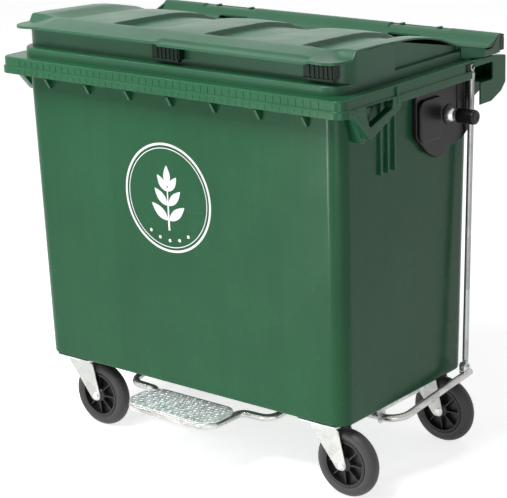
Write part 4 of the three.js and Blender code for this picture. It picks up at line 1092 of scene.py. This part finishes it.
def pedal():
    end = (606, 277, PIVOT_Z + 35, 0)
    bend = (606, PIVOT_Y, PIVOT_Z, 55)

    def flip(corner):
        return (-corner[0], *corner[1:])

    cross = smoothed(tube("cross_tube", [flip(end), flip(bend), bend, end], 10.9))
    placed(cross, TUBE_ZINC, "pedal", "galvanised_steel", "pedal_cross_tube")
    z = PIVOT_Z - 23
    right = [
        (160, -393, z, 46), (160, -247, z, 26), (270, -247, z + 3.8, 36.8), (285, PIVOT_Y - 10.5, PIVOT_Z, 0),
    ]
    left = [flip(c) for c in reversed(right)]
    loop = smoothed(tube("loop_tube", left + right, 10.9))
    placed(loop, TUBE_ZINC, "pedal", "galvanised_steel", "pedal_loop")
    placed(tread(z + 11.3), TREAD_ZINC, "pedal", "galvanised_steel", "pedal_plate")


def tread(z):
    outline = rectangle(169, -TREAD_FRONT, TREAD_REAR, TREAD_CORNER, 10)
    plate = smoothed(prism("tread", outline, "z", z, z + 2.6), 0.8)
    # Raised lozenges in a crossed pattern.
    points, faces = [], []
    rows, columns = 10, 25
    for row in range(rows):
        for column in range(columns):
            x = -162 + 13.2 * column + (6.6 if row % 2 else 0)
            y = -394 + 14 * row
            if not inside_tread(x, y):
                continue
            angle = math.radians(45 if (row + column) % 2 else -45)
            c, s = math.cos(angle), math.sin(angle)
            base = len(points)
            ring = [(5.4, 0), (1.6, 1.7), (-1.6, 1.7), (-5.4, 0), (-1.6, -1.7), (1.6, -1.7)]
            for size, height in ((1, 2.4), (0.7, 3.7)):
                for u, v in ring:
                    points.append((x + size * (u * c - v * s), y + size * (u * s + v * c), z + height))
            for k in range(6):
                j = (k + 1) % 6
                faces.append((base + k, base + j, base + 6 + j, base + 6 + k))
            faces.append(tuple(base + 6 + k for k in range(6)))
            faces.append(tuple(base + k for k in reversed(range(6))))
    lozenges = mesh_object("lozenges", points, faces)
    return joined([plate, smoothed(lozenges)], "tread_plate")


def inside_tread(x, y):
    # Inside the tread's outline, less a plain border.
    border = 6
    radius = TREAD_CORNER - border
    half = 163
    drop = max(TREAD_FRONT + TREAD_CORNER - y, y - (TREAD_REAR - TREAD_CORNER))
    if drop > 0:
        half = half - radius + math.sqrt(max(0.0, radius**2 - drop**2))
    if y > TREAD_REAR - border:
        half = 0
    return abs(x) < half - 3


def rods():
    foot_z = 248.34
    head = Vector((606, 285, 1132))
    foot = Vector((606, 250, foot_z))
    along = (head - foot).normalized()
    pieces = [
        smoothed(tube("shank", [(*(foot + along * 18), 0), (*(head - along * 13), 0)], 8.8)),
        smoothed(turned("foot_eye", [(5.4, -6), (12, -6), (12, 6), (5.4, 6)], "x", foot), 0.8),
        smoothed(turned("head_eye", [(5.4, -3.5), (11, -3.5), (11, 3.5), (5.4, 3.5)], "x", head), 0.8),
    ]
    for start, end, half in (
        (foot + along * 11, foot + along * 20, 6), (head - along * 15, head - along * 10, 3.5),
    ):
        pieces.append(smoothed(block(
            "flat", (606 - half, 606 + half), (start.y - 7, start.y + 7), (start.z, end.z),
        ), 1))
    pair(joined(pieces), "rod", ROD_ZINC, ("rod_right", "rod_left"), "galvanised_steel", "lift_rod")
    cheeks = []
    for x in (596.6, 612.6):
        outline = rounded([
            (236, 226, 3), (264, 226, 3), (264, foot_z + 9.6, 10), (236, foot_z + 9.6, 10),
        ], 5)
        cheeks.append(smoothed(prism("cheek", outline, "x", x - 3.2, x), 0.6))
    cheeks.append(smoothed(block("base", (594, 618), (236, 264), (232, 235)), 0.5))
    cheeks.append(smoothed(cylinder("pin", 4.9, "x", 590.6, 621.4, (0, 250, foot_z)), 0.8))
    pair(joined(cheeks), "clevis", ZINC, "pedal", "galvanised_steel", "rod_clevis")


pedal()
rods()


# The CAD's own pieces that the scene shows, with a material and a fine bevel.
def dress(prefix, material):
    for name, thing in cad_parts.items():
        if name.startswith(prefix):
            thing.data.materials.clear()
            thing.data.materials.append(material)
            modifier = thing.modifiers.new("edges", "BEVEL")
            modifier.width = 0.8 * MM
            modifier.segments = 2
            modifier.limit_method = "ANGLE"
            modifier.angle_limit = math.radians(35)


for prefix, material in (
    ("hinge_pin", BLACK), ("trunnion_nut", ZINC), ("pivot_bearing", BLACK), ("pivot_rail", ZINC),
    ("lid_pin", ZINC), ("castor_kingpin", STEEL),
):
    dress(prefix, material)


# Floor, backdrop and light
def seen_directly(tree):
    # One for rays from the camera, a mirror or glass, and zero for the light on the object.
    rays = tree.nodes.new("ShaderNodeLightPath")
    total = rays.outputs["Is Camera Ray"]
    for name in ("Is Glossy Ray", "Is Transmission Ray"):
        larger = tree.nodes.new("ShaderNodeMath")
        larger.operation = "MAXIMUM"
        tree.links.new(total, larger.inputs[0])
        tree.links.new(rays.outputs[name], larger.inputs[1])
        total = larger.outputs["Value"]
    return total


def levelled(tree, low, high):
    level = tree.nodes.new("ShaderNodeMapRange")
    level.inputs["To Min"].default_value = low
    level.inputs["To Max"].default_value = high
    tree.links.new(seen_directly(tree), level.inputs["Value"])
    return level.outputs["Result"]


def add_floor():
    bpy.ops.mesh.primitive_plane_add(size=60)
    floor = bpy.context.object
    floor.name = "floor"
    material, nodes, links, shader = new_material("floor_white")
    shader.inputs["Base Color"].default_value = (0.9, 0.9, 0.9, 1)
    shader.inputs["Roughness"].default_value = 0.8
    shader.inputs["Emission Color"].default_value = (1, 1, 1, 1)
    links.new(levelled(material.node_tree, 0, 0.72), shader.inputs["Emission Strength"])
    floor.data.materials.append(material)


def add_lamp(name, place, size, power, aim=(0, 0, 0.7)):
    lamp = bpy.data.lights.new(name, "AREA")
    lamp.shape = "RECTANGLE"
    lamp.size, lamp.size_y = size
    lamp.energy = power
    holder = bpy.data.objects.new(name, lamp)
    holder.location = place
    holder.rotation_euler = (Vector(aim) - Vector(place)).to_track_quat("-Z", "Y").to_euler()
    bpy.context.scene.collection.objects.link(holder)


def studio():
    add_floor()
    world = bpy.data.worlds.new("studio")
    bpy.context.scene.world = world
    world.use_nodes = True
    tree = world.node_tree
    background = tree.nodes["Background"]
    background.inputs["Color"].default_value = (1, 1, 1, 1)
    tree.links.new(levelled(tree, 0.17, 1), background.inputs["Strength"])
    add_lamp("key", (-0.5, -2.9, 4.7), (1.8, 1.8), 200)
    add_lamp("rim", (-3.3, -2.9, 3.6), (0.4, 0.4), 20)
    add_lamp("top", (-0.8, 0.9, 4.4), (2.4, 2.0), 14)
    add_lamp("side", (2.4, -2.6, 0.5), (1.4, 0.8), 10, (0.5, -0.2, 0.5))
    add_lamp("edge", (-0.5, -2.3, 0.36), (0.05, 0.4), 12, (0.55, -0.28, 0.36))


studio()
bpy.context.scene.view_settings.view_transform = "Standard"
